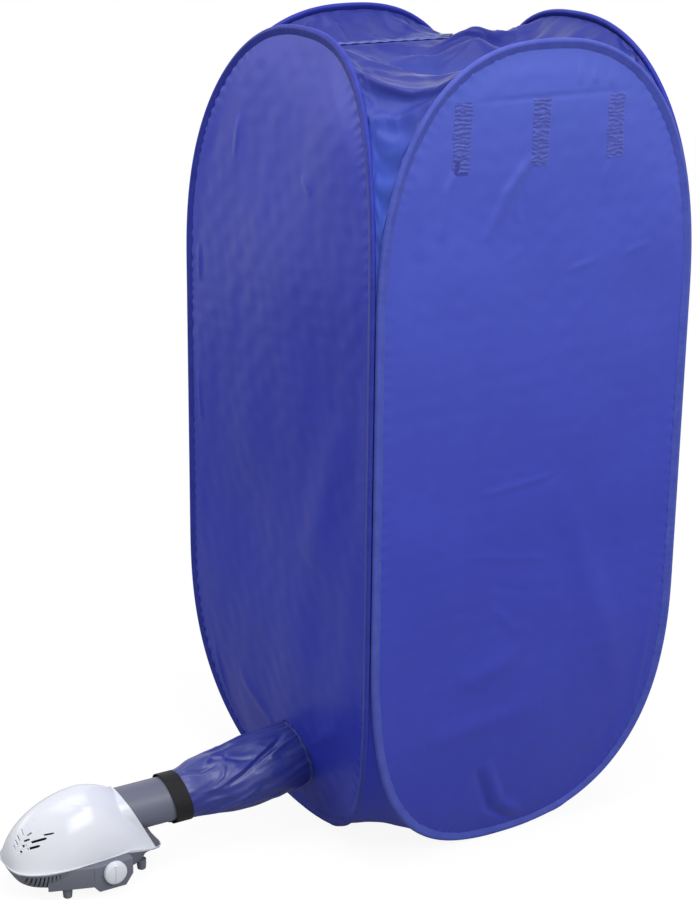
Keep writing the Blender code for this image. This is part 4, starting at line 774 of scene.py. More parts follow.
def sewn_strip(number, s_low, s_high, z_low, z_high):
    def place(u, v):
        z = z_low + (z_high - z_low) * v
        edge = np.minimum(u, 1 - u)
        wander = 0.0012 * swell(z, z * 0, 0.03, 60 + number)
        s = s_low + (s_high - s_low) * u + wander
        fold = np.sin(z * 2 * math.pi / 0.0068 + 2.2 * swell(s, z, 0.03, 70 + number))
        lift = np.clip(edge * 8, 0, 1)
        puff = 0.0006 + 0.0005 * lift * (0.6 + 0.4 * fold) + 0.0004 * swell(s, z, 0.012, 80 + number) * lift
        puff = np.where(edge < 1e-6, -0.0003, puff)
        return side_place("right", s, -(relief_right(s, z) + puff), z)

    shape = loft(22, 90, place, (s_high - s_low, z_high - z_low))
    made = piece(f"sewn_strip_{number}", shape, strip_cloth, "right")
    return made


strips = [
    sewn_strip(1, -0.169, -0.137, 1.147, 1.249),
    sewn_strip(2, -0.029, 0.004, 1.147, 1.249),
    sewn_strip(3, 0.114, 0.146, 1.147, 1.247),
]
print("strips", len(strips))

# %% [markdown]
# ## The slack cover
# The top is a loose sheet sewn to all four hoops. Its corners drop into the deep Vs between two
# neighbouring hoops, and its middle lies in swags. Here a cloth simulation is right: the sheet is
# cut a little too large, held along its edges and at the zip, and left to settle under its weight.

# %% Cover
ZIP_X = -0.170
ZIP_LENGTH = 0.340
ZIP_CLOTH_Z = 1.2786
EDGE_REACH = HALF - 0.0030
NYLON_STIFFNESS = 12.0
SETTLE_FRAMES = 26
SLACK = 0.045


def level(xi, eta, power):
    """Share of the arc's height: 1 in the middle, 0 at the corners."""
    return np.maximum(1 - np.abs(xi * eta) ** power, 0) ** (1 / power)


def lean_in(xi, eta, table, power):
    """How the leaning hoops carry a place inwards, as (x, y)."""
    rise_x = level(1, xi, power) ** BEND_POWER
    rise_y = level(1, eta, power) ** BEND_POWER
    x = xi * EDGE_REACH + table["left"] * rise_y * (1 - xi) / 2 - table["right"] * rise_y * (1 + xi) / 2
    y = eta * EDGE_REACH + table["front"] * rise_x * (1 - eta) / 2 - table["back"] * rise_x * (1 + eta) / 2
    return x, y


def shares_of_arc(u, power):
    """Even steps along an arc, as shares from -1 to 1."""
    angle = (u - 0.5) * math.pi
    return np.sign(angle) * np.abs(np.sin(angle)) ** (2 / power)


def held_by_zip(x, y):
    beside = smooth_step((np.abs(x - ZIP_X) - 0.015) / 0.060)
    beyond = smooth_step((np.abs(y) - ZIP_LENGTH / 2 - 0.040) / 0.060)
    return (1 - beside) * (1 - beyond)


def cover_place(u, v):
    xi = shares_of_arc(u, TOP_ARC_POWER)
    eta = shares_of_arc(v, TOP_ARC_POWER)
    x, y = lean_in(xi, eta, TOP_BEND, TOP_ARC_POWER)
    inside = (1 - xi**2) * (1 - eta**2)
    z = TOP_START_Z + TOP_ARC_HEIGHT * level(xi, eta, TOP_ARC_POWER) - 0.030 * inside
    towards = (x - y) / math.sqrt(2)
    aside = (x + y) / math.sqrt(2)
    z += 0.010 * inside * np.sin(2 * math.pi * (towards + aside**2 / 0.060 * 0.25) / 0.105)
    z += 0.022 * inside * np.exp(-((np.hypot(x + 0.090, y - 0.150) / 0.070) ** 2))
    held = held_by_zip(x, y)
    return np.stack([x, y + TENT_Y, z * (1 - held) + ZIP_CLOTH_Z * held], axis=1)


def settle(made, frames, slack, weights):
    """Let a sheet settle as cloth; weights hold its points where they are."""
    group = made.vertex_groups.new(name="held")
    for index, weight in enumerate(weights):
        if weight > 0:
            group.add([index], float(weight), "REPLACE")
    modifier = made.modifiers.new("settle", "CLOTH")
    cloth = modifier.settings
    cloth.vertex_group_mass = "held"
    cloth.quality = 6
    cloth.mass = 0.12
    cloth.tension_stiffness = cloth.compression_stiffness = NYLON_STIFFNESS
    cloth.shear_stiffness = NYLON_STIFFNESS / 2
    cloth.bending_stiffness = 0.2
    cloth.tension_damping = cloth.compression_damping = 5
    cloth.air_damping = 4
    cloth.shrink_min = -slack
    modifier.collision_settings.use_collision = False
    modifier.point_cache.frame_start = 1
    modifier.point_cache.frame_end = frames
    scene = bpy.context.scene
    for number in range(1, frames + 1):
        scene.frame_set(number)
    applied(made)
    made.vertex_groups.clear()
    scene.frame_set(1)


cover_sheet = as_object("cover_sheet", loft(84, 84, cover_place, (0.6, 0.6)))
spots = np.array([point.co for point in cover_sheet.data.vertices])
edges = np.zeros(len(spots), bool)
marks = bmesh.new()
marks.from_mesh(cover_sheet.data)
for point in marks.verts:
    edges[point.index] = point.is_boundary
marks.free()
zip_hold = held_by_zip(spots[:, 0], spots[:, 1] - TENT_Y)
weights = np.maximum(np.where(edges, 1.0, 0.0), np.where(zip_hold > 0.97, 1.0, 0.02 + 0.1 * zip_hold))
settle(cover_sheet, SETTLE_FRAMES, SLACK, weights)
print("cover points", len(spots))

# %% [markdown]
# When the tent is pushed over, its plan turns from a square into a rhombus and the cover shears.
# No single body does that, so the sheet is cut into bands named after the front, the three rods
# and the back, the front one in two halves; none of them is attached to a body here. Every band
# takes its shading from the whole sheet, so that no cut shows while the tent stands square.

# %% Cover bands
CUT_PLACES = (-0.3, -0.225, -0.0805, 0.0615, 0.217, 0.3)
BAND_BODIES = ("front", "rod_1", "rod_2", "rod_3", "back")


def swags(point):
    """Thin folds round each corner, the dip inside the hoops and the peak behind the zip."""
    x, y = point[:, 0], point[:, 1] - TENT_Y
    free = 1 - held_by_zip(x, y)
    rim = np.minimum(HALF - np.abs(x), HALF - np.abs(y))
    inner = smooth_step((rim - 0.012) / 0.05)
    out = np.zeros_like(x)
    for number, (across, along) in enumerate(((1, -1), (1, 1), (-1, 1), (-1, -1))):
        away = np.hypot(x - across * HALF, y - along * HALF)
        here = smooth_step((away - 0.10) / 0.06) * smooth_step((0.43 - away) / 0.12)
        phase = away * 2 * math.pi / 0.027 + 2.6 * swell(x, y, 0.16, 120 + number)
        patchy = np.clip(0.5 + 0.5 * swell(x, y, 0.14, 130 + number), 0, 1)
        out += 0.0019 * here * patchy * (1 - 2 * np.abs(np.sin(phase / 2)) ** 0.7)
    peak = 0.043 * np.exp(-(((x + 0.060) / 0.055) ** 2) - ((y - 0.105) / 0.050) ** 2)
    peak += 0.004 * np.exp(-(((x + 0.045) / 0.010) ** 2) - ((y - 0.100) / 0.060) ** 2)
    dip = 0.012 * (1 - np.exp(-np.maximum(rim, 0) / 0.020)) * np.exp(-np.maximum(rim, 0) / 0.11)
    return (out + 0.0006 * swell(x, y, 0.05, 140)) * inner * free + (peak - dip) * free


def whole_sheet(source, rounds, draped=False):
    """The settled sheet, smoothed finer, with its shading kept in three number layers."""
    modifier = source.modifiers.new("finer", "SUBSURF")
    modifier.levels = modifier.render_levels = rounds
    modifier.boundary_smooth = "ALL"
    shape = bmesh.new()
    shape.from_mesh(applied(source).data)
    if draped:
        spots = np.array([point.co for point in shape.verts])
        for point, lift in zip(shape.verts, swags(spots)):
            point.co.z += lift
    bmesh.ops.recalc_face_normals(shape, faces=shape.faces)
    upward = sum(face.normal.z for face in shape.faces)
    if upward < 0:
        bmesh.ops.reverse_faces(shape, faces=shape.faces)
    shape.normal_update()
    layers = [shape.verts.layers.float.new("shade_" + axis) for axis in "xyz"]
    for point in shape.verts:
        for layer, value in zip(layers, point.normal):
            point[layer] = value
    bpy.data.objects.remove(source)
    return shape


def cut_beyond(shape, spot, normal):
    """Take away what lies beyond a plane."""
    geometry = [*shape.verts, *shape.edges, *shape.faces]
    bmesh.ops.bisect_plane(shape, geom=geometry, dist=1e-7, plane_co=spot, plane_no=normal, clear_outer=True)


def cut_to(shape, axis, low, high):
    """Keep what lies between two planes across an axis."""
    for place, sign in ((low, -1), (high, 1)):
        if place is not None:
            spot, normal = Vector(), Vector()
            spot[axis] = place
            normal[axis] = sign
            cut_beyond(shape, spot, normal)


def keep_shading(made):
    """Give a cut band the shading of the sheet that it came from."""
    values = []
    for axis in "xyz":
        numbers = np.zeros(len(made.data.vertices), np.float32)
        made.data.attributes["shade_" + axis].data.foreach_get("value", numbers)
        values.append(numbers)
    made.data.normals_split_custom_set_from_vertices(np.stack(values, axis=1).tolist())
    for axis in "xyz":
        made.data.attributes.remove(made.data.attributes["shade_" + axis])


def bands(name, whole, finish, replaced):
    """Cut a sheet that spans the tent into bands named after its bodies."""
    made = []
    for number, body in enumerate(BAND_BODIES):
        low = CUT_PLACES[number] + TENT_Y if number else None
        high = CUT_PLACES[number + 1] + TENT_Y if number < 4 else None
        halves = (("left", None, -0.05), ("right", -0.05, None)) if body == "front" else (("", None, None),)
        for hand, x_low, x_high in halves:
            part = whole.copy()
            cut_to(part, 1, low, high)
            cut_to(part, 0, x_low, x_high)
            label = "_".join(filter(None, (name, body, hand)))
            band = piece(label, part, finish, None)
            keep_shading(band)
            if hand == "left":
                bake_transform(band)
            elif hand == "right":
                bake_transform(band)
            else:
                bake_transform(band)
            made.append(band)
    whole.free()
    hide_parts(*replaced)
    return made


cover_whole = whole_sheet(cover_sheet, 1, draped=True)
cover_bands = bands("cover", cover_whole, cover_cloth, ["top_cover_main", "top_cover_strip"])
print("cover bands", [band.name for band in cover_bands])

# %% [markdown]
# ## The floor cloth
# The bottom is the same kind of sheet, turned over: it hangs in the lower arcs and lies on the
# floor in the middle. Little of it shows, so it is lofted without a simulation and cut into the
# same bands.

# %% Floor cloth
def floor_place(u, v):
    xi = shares_of_arc(u, BOTTOM_ARC_POWER)
    eta = shares_of_arc(v, BOTTOM_ARC_POWER)
    x, y = lean_in(xi, eta, BOTTOM_BEND, BOTTOM_ARC_POWER)
    inside = (1 - xi**2) * (1 - eta**2)
    z = BOTTOM_START_Z - BOTTOM_ARC_HEIGHT * level(xi, eta, BOTTOM_ARC_POWER)
    z += inside * (0.005 + 0.0015 * swell(x, y, 0.12, 90))
    z += 0.0010 * swell(x, y, 0.05, 91) * np.clip(inside * 4, 0, 1)
    return np.stack([x, y + TENT_Y, z], axis=1)


floor_sheet = as_object("floor_sheet", loft(96, 96, floor_place, (0.6, 0.6)))
floor_bands = bands("floor_cloth", whole_sheet(floor_sheet, 0), panel_cloth, ["floor_cloth"])
print("floor bands", len(floor_bands))

# %% [markdown]
# ## The duct
# A tapered tube of the same nylon joins the heater to the tent. It is gathered into small pleats
# under the strap and at the seam ring on the panel, and long slanting folds run between. A cloth
# simulation rounds such folds off, so each is written down as a line over the tube with a width
# and a height, which keeps it as crisp as in the photograph.

# %% Duct
TUBE_Z = 0.098
STRAP_LOW_Y = -0.2695
STRAP_HIGH_Y = -0.2405
DUCT_LENGTH = 0.222
METRES_PER_DEGREE = 0.00088
FOLD_GAIN = 1.35


def panel_face_y(z):
    return TENT_Y - HALF + bend("front", z)


DUCT_FOLDS = (
    (((150, 0.10), (128, 0.20), (115, 0.317), (102, 0.425), (89, 0.570)), 0.0034, 0.0022),
    (((140, 0.25), (128, 0.359), (112, 0.469), (98, 0.581)), 0.0060, -0.0022),
    (((74, 0.19), (72, 0.273), (59, 0.393), (51, 0.492), (38, 0.633), (22, 0.800)), 0.0030, 0.0024),
    (((73, 0.344), (60, 0.480), (45, 0.620), (34, 0.749), (15, 0.871)), 0.0042, -0.0026),
    (((49, 0.666), (44, 0.728), (37, 0.821), (28, 0.985)), 0.0030, 0.0022),
    (((17, 0.421), (12, 0.579), (15, 0.736), (14, 0.809)), 0.0042, 0.0018),
    (((24, 0.408), (35, 0.487), (40, 0.584)), 0.0042, -0.0016),
    (((8, 0.13), (24, 0.185), (33, 0.223), (30, 0.346)), 0.0032, -0.0022),
    (((27, 0.232), (10, 0.334), (19, 0.411)), 0.0045, 0.0015),
    (((74, 0.216), (54, 0.334), (38, 0.378)), 0.0035, 0.0014),
    (((2, 0.900), (5, 0.990)), 0.0030, 0.0014),
    (((52, 0.684), (55, 0.753)), 0.0022, 0.0010),
    (((-60, 0.15), (-95, 0.55), (-120, 0.92)), 0.0045, 0.0022),
    (((-30, 0.22), (-52, 0.60), (-70, 0.90)), 0.0050, -0.0020),
    (((-100, 0.20), (-140, 0.60), (-160, 0.90)), 0.0045, 0.0022),
    (((-15, 0.30), (-25, 0.65), (-28, 0.95)), 0.0040, 0.0018),
)


DUCT_SHARES = (0, 0.12, 0.23, 0.356, 0.49, 0.62, 0.766, 0.93, 1)
DUCT_RADII = (0.0400, 0.0408, 0.0490, 0.0542, 0.0570, 0.0578, 0.0568, 0.0535, 0.0510)
DUCT_MIDDLES = (0.098, 0.0985, 0.1035, 0.1040, 0.1050, 0.1090, 0.1136, 0.1200, 0.1230)


def eased(share, values):
    """A table along the duct, read off with its corners rounded."""
    steps = (-0.05, -0.025, 0, 0.025, 0.05)
    return sum(np.interp(share + step, DUCT_SHARES, values) for step in steps) / len(steps)


def strap_lean(angle):
    """The strap's slant: it sits further forward on top of the outlet than below."""
    return -0.0090 * np.cos(angle)


def duct_place(u, v):
    angle = 2 * math.pi * u
    flare = smooth_step((v - 0.94) / 0.06)
    radius = np.where(v < 0.10, 0.0400, eased(v, DUCT_RADII)) + 0.0060 * flare
    neck = smooth_step(1 - v / 0.26)
    ends = 0.0007 * neck + 0.0012 * smooth_step((v - 0.76) / 0.18) * (1 - flare)
    reach = radius + ends * np.sin(19 * angle + 1.5 * np.sin(3 * angle))
    degrees = np.degrees(np.mod(angle + math.pi, 2 * math.pi) - math.pi)
    around = degrees * METRES_PER_DEGREE
    for line, width, height in DUCT_FOLDS:
        flat = [(turn * METRES_PER_DEGREE, share * DUCT_LENGTH) for turn, share in line]
        reach = reach + FOLD_GAIN * crease_height(around, v * DUCT_LENGTH, flat, width * CREASE_SHARE, height)
    drift = swell(around, v * 0.1, 0.06, 95)
    drift = drift + 1.2 * swell(degrees * 0.0016, v * 0.11 + degrees * 0.0004, 0.028, 96)
    creases = 0.4 - np.abs(swell(degrees * 0.0013 - v * 0.06, v * 0.16, 0.05, 97))
    reach = reach + (0.0005 * drift + 0.0011 * creases) * smooth_step((v - 0.10) / 0.12) * (1 - flare)
    middle = eased(v, DUCT_MIDDLES)
    x = HEATER.x + reach * np.sin(angle)
    z = middle + reach * np.cos(angle)
    start_y = -0.2665 + strap_lean(angle)
    end_y = panel_face_y(z) - 0.0006
    y = start_y + (end_y - start_y) * np.where(v < 0.94, v / 0.94 * 0.99, 0.99 + 0.01 * flare)
    return np.stack([x, y, z], axis=1)


duct_tube = loft(216, 120, duct_place, (0.36, 0.22))
duct = piece("duct_cloth", duct_tube, duct_painted_shade_nylon, None, ["duct_sleeve"])
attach(duct, "front")
print("duct faces", len(duct.data.polygons))

# %% [markdown]
# ## Turned parts
# The outlet, the knob and the feet are round, so each starts as a line of points that is spun
# round an axis. A full spin is merged at its seam, and points on the axis become one.

# %% Spin helper
def spun(profile, sides, frame_matrix):
    """Spin a profile of (radius, height) round the Z axis of a frame."""
    shape = bmesh.new()
    points = [shape.verts.new((radius, 0, height)) for radius, height in profile]
    lines = [shape.edges.new(pair) for pair in zip(points, points[1:])]
    bmesh.ops.spin(
        shape,
        geom=[*points, *lines],
        cent=(0, 0, 0),
        axis=(0, 0, 1),
        angle=2 * math.pi,
        steps=sides,
        use_merge=True,
    )
    bmesh.ops.remove_doubles(shape, verts=shape.verts, dist=1e-6)
    bmesh.ops.recalc_face_normals(shape, faces=shape.faces)
    bmesh.ops.transform(shape, matrix=frame_matrix, verts=shape.verts)
    return shape


def pointing(place, direction):
    """A frame at a place whose Z axis points along a direction."""
    return Matrix.Translation(place) @ Vector(direction).to_track_quat("Z", "Y").to_matrix().to_4x4()


def crisp(made, angle=38):
    """Keep edges sharper than an angle."""
    made.data.set_sharp_from_angle(angle=math.radians(angle))
    return made


def ring_profile(inner, outer, length, chamfer):
    """A tube's wall in section, with chamfered ends, once round."""
    return [
        (inner, length / 2),
        (inner, chamfer),
        (inner + chamfer, 0),
        (outer - chamfer, 0),
        (outer, chamfer),
        (outer, length - chamfer),
        (outer - chamfer, length),
        (inner + chamfer, length),
        (inner, length - chamfer),
        (inner, length / 2),
    ]


outlet_frame = pointing(HEATER + Vector((0, 0.022, TUBE_Z)), (0, 1, 0))
outlet = piece(
    "outlet_pipe", spun(ring_profile(0.0358, 0.038, 0.173, 0.0006), 96, outlet_frame), tube_matt,
    "front", ["outlet_tube"]
)
crisp(outlet)

FEET = {"front_left": (-0.052, -0.053), "front_right": (0.052, -0.053),
        "rear_left": (-0.029, 0.088), "rear_right": (0.029, 0.088)}
foot_profile = [(0, 0), (0.0058, 0), (0.0070, 0.0010), (0.0078, 0.0090), (0.0078, 0.0177), (0, 0.0177)]
for name, (x, y) in FEET.items():
    shape = spun(foot_profile, 40, Matrix.Translation(HEATER + Vector((x, y, 0))))
    crisp(piece("rubber_foot_" + name, shape, grey_matt, "front", ["foot_" + name]))
print("outlet and feet", len(outlet.data.polygons))

# %% [markdown]
# ## The timer's knob
# A flat white disc with a stepped rim and a raised bar to grip. The disc is spun. The bar is a
# box with rounded edges that sinks into the disc's face.

# %% Knob
KNOB_AT = HEATER + Vector((0.0803, 0.016, 0.040))
knob_profile = [
    (0, 0.0003), (0.0180, 0.0003), (0.0188, 0.0010), (0.0190, 0.0022), (0.0190, 0.0072), (0.0186, 0.0082),
    (0.0176, 0.0088), (0.0166, 0.0090), (0.0160, 0.0098), (0.0152, 0.0102), (0, 0.0104),
]
knob = piece(
    "knob_disc", spun(knob_profile, 72, pointing(KNOB_AT, (1, 0, 0))), white_gloss,
    "knob", ["timer_knob"]
)
crisp(knob)


def block(low, high):
    """A box between two corners."""
    shape = bmesh.new()
    size = Vector(high) - Vector(low)
    middle = (Vector(high) + Vector(low)) / 2
    bmesh.ops.create_cube(shape, size=1, matrix=Matrix.Translation(middle) @ Matrix.Diagonal((*size, 1)))
    return shape


def rounded(shape, width, segments=3):
    """Round every edge of a shape."""
    bmesh.ops.bevel(
        shape, geom=list(shape.edges), offset=width, segments=segments, profile=0.5,
        affect="EDGES", material=-1
    )
    return shape


grip_low = KNOB_AT + Vector((0.0090, -0.0024, -0.0146))
grip_high = KNOB_AT + Vector((0.0122, 0.0024, 0.0146))
grip = piece("knob_grip", rounded(block(grip_low, grip_high), 0.0011), white_gloss, "knob")
print("knob faces", len(knob.data.polygons), "grip", len(grip.data.polygons))

# %% [markdown]
# ## The dome
# The heater's white cover is a smooth bowl, long at the front, that ends at a slanting plane. A grey
# tail cap with the arch for the outlet sits behind it, and a small bead follows the bowl's rim. It
# could be carved from a sphere. The CAD formula, a superellipsoid, already has the right corners,
# so the bowl is lofted finely from it, given its wall, and then cut by the leaf of slots.

# %% Dome
SHELL_HALF_WIDTH = 0.070
SHELL_FRONT = 0.136
SHELL_REAR = 0.108
FLARE_BACK, FLARE_DOWN = 0.020, 0.024
RIM_Z = 0.055
DOME_HEIGHT = 0.103
COLLAR = 0.0415


def oval(angle, half_width, reach, power, shrink=1.0):
    """A squared oval that narrows to the rear; angle 0 points to the rear."""
    across = np.sin(angle)
    along = np.cos(angle)
    x = half_width * np.sign(across) * np.abs(across) ** (2 / power) * shrink
    y = reach * np.sign(along) * np.abs(along) ** (2 / power) * shrink
    behind = np.maximum(y + 0.050, 0) / (SHELL_REAR + 0.050)
    return x * (1 - 0.15 * behind), y


def shell_reach(angle):
    return np.where(np.cos(angle) > 0, SHELL_REAR, SHELL_FRONT)


def tail(angle):
    """How the rims flare back and dip at the rear, from 0 to 1."""
    y = oval(angle, SHELL_HALF_WIDTH, shell_reach(angle), 3.6)[1]
    return np.clip((y - 0.058) / (SHELL_REAR - 0.058), 0, None) ** 1.2


def dome_place(u, v, collar=True, grow=0.0):
    """The bowl; behind its crown it stays clear of a collar round the outlet."""
    angle = 2 * math.pi * u
    tilt = math.pi / 2 * np.clip(v, 0, 1) ** 1.15
    power = 2.05 - 0.30 * (1 + np.cos(angle)) / 2
    shrink = np.where(v > 0.9999, 0, np.maximum(np.cos(tilt), 0) ** (2 / power))
    rise = np.sin(tilt) ** (2 / power)
    squareness = 3.2 - 1.6 * rise**0.35
    x, y = oval(angle, SHELL_HALF_WIDTH, shell_reach(angle), squareness, shrink)
    height = DOME_HEIGHT * rise
    share = np.clip(1 - height / 0.018, 0, 1) ** 2 * tail(angle)
    z = RIM_Z + height - FLARE_DOWN * share
    y = y + FLARE_BACK * share
    ridge_line = ((0.004, -0.040), (0.022, -0.035), (0.035, -0.013), (0.041, 0.030))
    ridge = crease_height(x, y, ridge_line, 0.0016, 0.0007)
    z = z + ridge * (rise > 0.3)
    if collar:
        near = smooth_step((y + 0.045) / 0.100)
        above = z - TUBE_Z
        away = np.hypot(x, above)
        push = np.maximum(COLLAR * near - away, 0) / np.maximum(away, 1e-4)
        x = np.where(above >= 0, x * (1 + push), x)
        z = np.where(above >= 0, z + above * push, z)
        wide = COLLAR * near * smooth_step((np.abs(x) - 0.004) / 0.016)
        x = np.where(above < 0, np.sign(x) * np.maximum(np.abs(x), wide), x)
    flat = np.hypot(x, y) + 1e-6
    x, y = x + grow * x / flat, y + grow * y / flat
    return np.stack([x + HEATER.x, y + HEATER.y, z], axis=1)


def cut_away(made, shape):
    """Take a closed shape out of a piece with a Boolean, and apply it."""
    bmesh.ops.recalc_face_normals(shape, faces=shape.faces)
    tool = as_object("cutter", shape)
    modifier = made.modifiers.new("cut", "BOOLEAN")
    modifier.operation = "DIFFERENCE"
    modifier.solver = "EXACT"
    modifier.object = tool
    applied(made)
    bpy.data.objects.remove(tool)
    return made


def slot_box(length, height, depth, matrix):
    """A slot's cutter: a flat box with round ends, pointing along Y."""
    shape = block((-length / 2, -depth / 2, -height / 2), (length / 2, depth / 2, height / 2))
    ends = [edge for edge in shape.edges if abs(edge.verts[0].co.y - edge.verts[1].co.y) > depth / 2]
    bmesh.ops.bevel(
        shape, geom=ends, offset=min(height, length) * 0.42, segments=2, profile=0.5,
        affect="EDGES", material=-1
    )
    bmesh.ops.transform(shape, matrix=matrix, verts=shape.verts)
    return shape


def together(shapes):
    """Several shapes as one."""
    whole = bmesh.new()
    for shape in shapes:
        mesh = bpy.data.meshes.new("part")
        shape.to_mesh(mesh)
        shape.free()
        whole.from_mesh(mesh)
        bpy.data.meshes.remove(mesh)
    return whole


def walled(made, thickness):
    """Give a shell its wall, inwards from its outer face."""
    wall = made.modifiers.new("wall", "SOLIDIFY")
    wall.thickness = thickness
    wall.offset = -1
    wall.use_even_offset = True
    return applied(made)


def keep_side(shape, sign):
    """Keep one side of the slanting plane at which the white hood ends."""
    cut_beyond(shape, HEATER + Vector((0, 0.0746, 0.104)), Vector((0, 1, 0.52)).normalized() * sign)
    return shape


hood = keep_side(loft(192, 72, dome_place, (0.4, 0.2)), 1)
dome = piece("dome_hood", hood, white_gloss, "front", ["dome_cover"])
walled(dome, 0.0022)

rear = keep_side(loft(128, 48, lambda u, v: dome_place(u, v, collar=False, grow=-0.0012), (0.4, 0.2)), -1)
tail_cap = piece("tail_cap", rear, grey_matt, "front")
walled(tail_cap, 0.0020)
arch_frame = pointing(HEATER + Vector((0, 0, TUBE_Z)), (0, 1, 0))
arch = spun([(0, 0), (0.0386, 0), (0.0386, 0.160), (0, 0.160)], 72, arch_frame)
cut_away(tail_cap, arch)


def lip_place(u, v):
    """A small bead along the bowl's rim."""
    turn = 2 * math.pi * v
    line = dome_place(u, u * 0, collar=False)
    out = line - np.array(HEATER)
    out[:, 2] = 0
    out = out / np.linalg.norm(out, axis=1)[:, None]
    line = line + out * (0.0010 * np.sin(turn) - 0.0004)[:, None]
    line[:, 2] += 0.0014 + 0.0012 * np.cos(turn)
    return line


lip = piece("dome_lip", loft(192, 10, lip_place, (0.4, 0.008)), white_gloss, "front")

SLOTS = (
    (0.0365, 0.1112, 0.0432, 0.1136, 0.0022), (0.0318, 0.1012, 0.0418, 0.1072, 0.0030),
    (0.0328, 0.0918, 0.0420, 0.0974, 0.0030), (0.0222, 0.1085, 0.0250, 0.1140, 0.0019),
    (0.0228, 0.1012, 0.0286, 0.1054, 0.0026), (0.0238, 0.0935, 0.0296, 0.0974, 0.0030),
    (0.0240, 0.0864, 0.0306, 0.0882, 0.0028), (0.0092, 0.1150, 0.0171, 0.1096, 0.0020),
    (0.0096, 0.1065, 0.0178, 0.1013, 0.0022), (0.0112, 0.0999, 0.0192, 0.0950, 0.0022),
    (0.0125, 0.0930, 0.0188, 0.0890, 0.0020), (0.0228, 0.1238, 0.0238, 0.1240, 0.0012),
    (0.0290, 0.1170, 0.0300, 0.1174, 0.0013), (0.0143, 0.1286, 0.0153, 0.1288, 0.0011),
    (0.0121, 0.1219, 0.0131, 0.1221, 0.0011), (0.0180, 0.1176, 0.0190, 0.1178, 0.0011),
)
SLOT_STRETCH, SLOT_GAPE = 1.15, 1.25
cutters = []
for x_low, z_low, x_high, z_high, height in SLOTS:
    length = math.hypot(x_high - x_low, z_high - z_low)
    tilt = math.atan2(z_high - z_low, x_high - x_low)
    middle = Vector(((x_low + x_high) / 2, -0.105, (z_low + z_high) / 2))
    place = Matrix.Translation(HEATER + middle) @ Matrix.Rotation(-tilt, 4, "Y")
    cutters.append(slot_box(length * SLOT_STRETCH, height * SLOT_GAPE, 0.090, place))
for cutter in cutters:
    cut_away(dome, cutter)
crisp(dome, 42)
crisp(tail_cap, 42)
print("dome faces", len(dome.data.polygons), "slots", len(SLOTS))

# %% [markdown]
# ## The base
# The grey lower shell is a shallow tray that follows the dome's outline, steps in towards its
# floor. It is lofted like the dome, given a wall and slotted at the front. The timer's housing is
# a piece of its own on the right, with a flank that runs to it from the slots.

# %% Base
BASE_LEVELS = ((0.0020, 0.0547, 0.0), (0.0022, 0.0500, 0.08), (0.0026, 0.0420, 0.20), (0.0030, 0.0340, 0.36),
               (0.0032, 0.0290, 0.50), (0.0034, 0.0240, 0.70), (0.0040, 0.0205, 0.88), (0.0060, 0.0186, 1.0),
               (0.0090, 0.0180, 1.0))


def base_place(u, v):
    angle = 2 * math.pi * u
    steps = len(BASE_LEVELS)
    index = np.rint(v * steps).astype(int)
    inset, z, share = np.array([*BASE_LEVELS, (0.0090, 0.0180, 1.0)])[index].T
    rear = np.cos(angle) > 0
    floor_reach = np.where(rear, 0.098, 0.112)
    floor_power = np.where(rear, 3.0, 2.05)
    reach = shell_reach(angle) * (1 - share) + floor_reach * share
    power = 3.6 * (1 - share) + floor_power * share
    half_width = SHELL_HALF_WIDTH * (1 - share) + 0.062 * share
    x, y = oval(angle, half_width - inset, reach - inset, power)
    flare = tail(angle) * np.clip(1 - share / 0.30, 0, 1)
    x = np.where(index == steps, 0, x)
    y = np.where(index == steps, 0, y)
    return np.stack([x + HEATER.x, y + FLARE_BACK * flare + HEATER.y, z - FLARE_DOWN * flare], axis=1)


tray = loft(128, len(BASE_LEVELS), base_place, (0.4, 0.05))
base = piece("base_tray", tray, grey_matt, "front", ["base_shell"])
walled(base, 0.0022)


def housing():
    """The timer's housing: a bent outline pushed out to the side."""
    outline = ((-0.018, 0.0549), (-0.018, 0.0195), (-0.009, 0.0092),
               (0.037, 0.0092), (0.050, 0.0270), (0.050, 0.0549))
    shape = bmesh.new()
    points = [shape.verts.new(HEATER + Vector((0.050, y, z))) for y, z in outline]
    face = shape.faces.new(points)
    pushed = bmesh.ops.extrude_face_region(shape, geom=[face])["geom"]
    moved = [item for item in pushed if isinstance(item, bmesh.types.BMVert)]
    bmesh.ops.translate(shape, vec=(0.030, 0, 0), verts=moved)
    bmesh.ops.recalc_face_normals(shape, faces=shape.faces)
    outer = [edge for edge in shape.edges if all(point.co.x > HEATER.x + 0.07 for point in edge.verts)]
    sides = [edge for edge in shape.edges if abs(edge.verts[0].co.x - edge.verts[1].co.x) > 0.01]
    bmesh.ops.bevel(
        shape, geom=outer + sides, offset=0.0018, segments=3, profile=0.5, affect="EDGES", material=-1
    )
    return shape


def flank():
    """The side of the tray that runs straight from the vents to the timer's housing."""
    shape = bmesh.new()
    plan = ((0.0560, -0.0880), (0.0792, -0.0190), (0.0792, -0.0160), (0.0560, -0.0160))
    points = [shape.verts.new(HEATER + Vector((x, y, 0.0200))) for x, y in plan]
    pushed = bmesh.ops.extrude_face_region(shape, geom=[shape.faces.new(points)])["geom"]
    moved = [item for item in pushed if isinstance(item, bmesh.types.BMVert)]
    bmesh.ops.translate(shape, vec=(0, 0, 0.0346), verts=moved)
    for point in moved:
        point.co.x -= 0.0010
    bmesh.ops.recalc_face_normals(shape, faces=shape.faces)
    bmesh.ops.bevel(
        shape, geom=list(shape.edges), offset=0.0012, segments=3, profile=0.5, affect="EDGES", material=-1
    )
    return shape


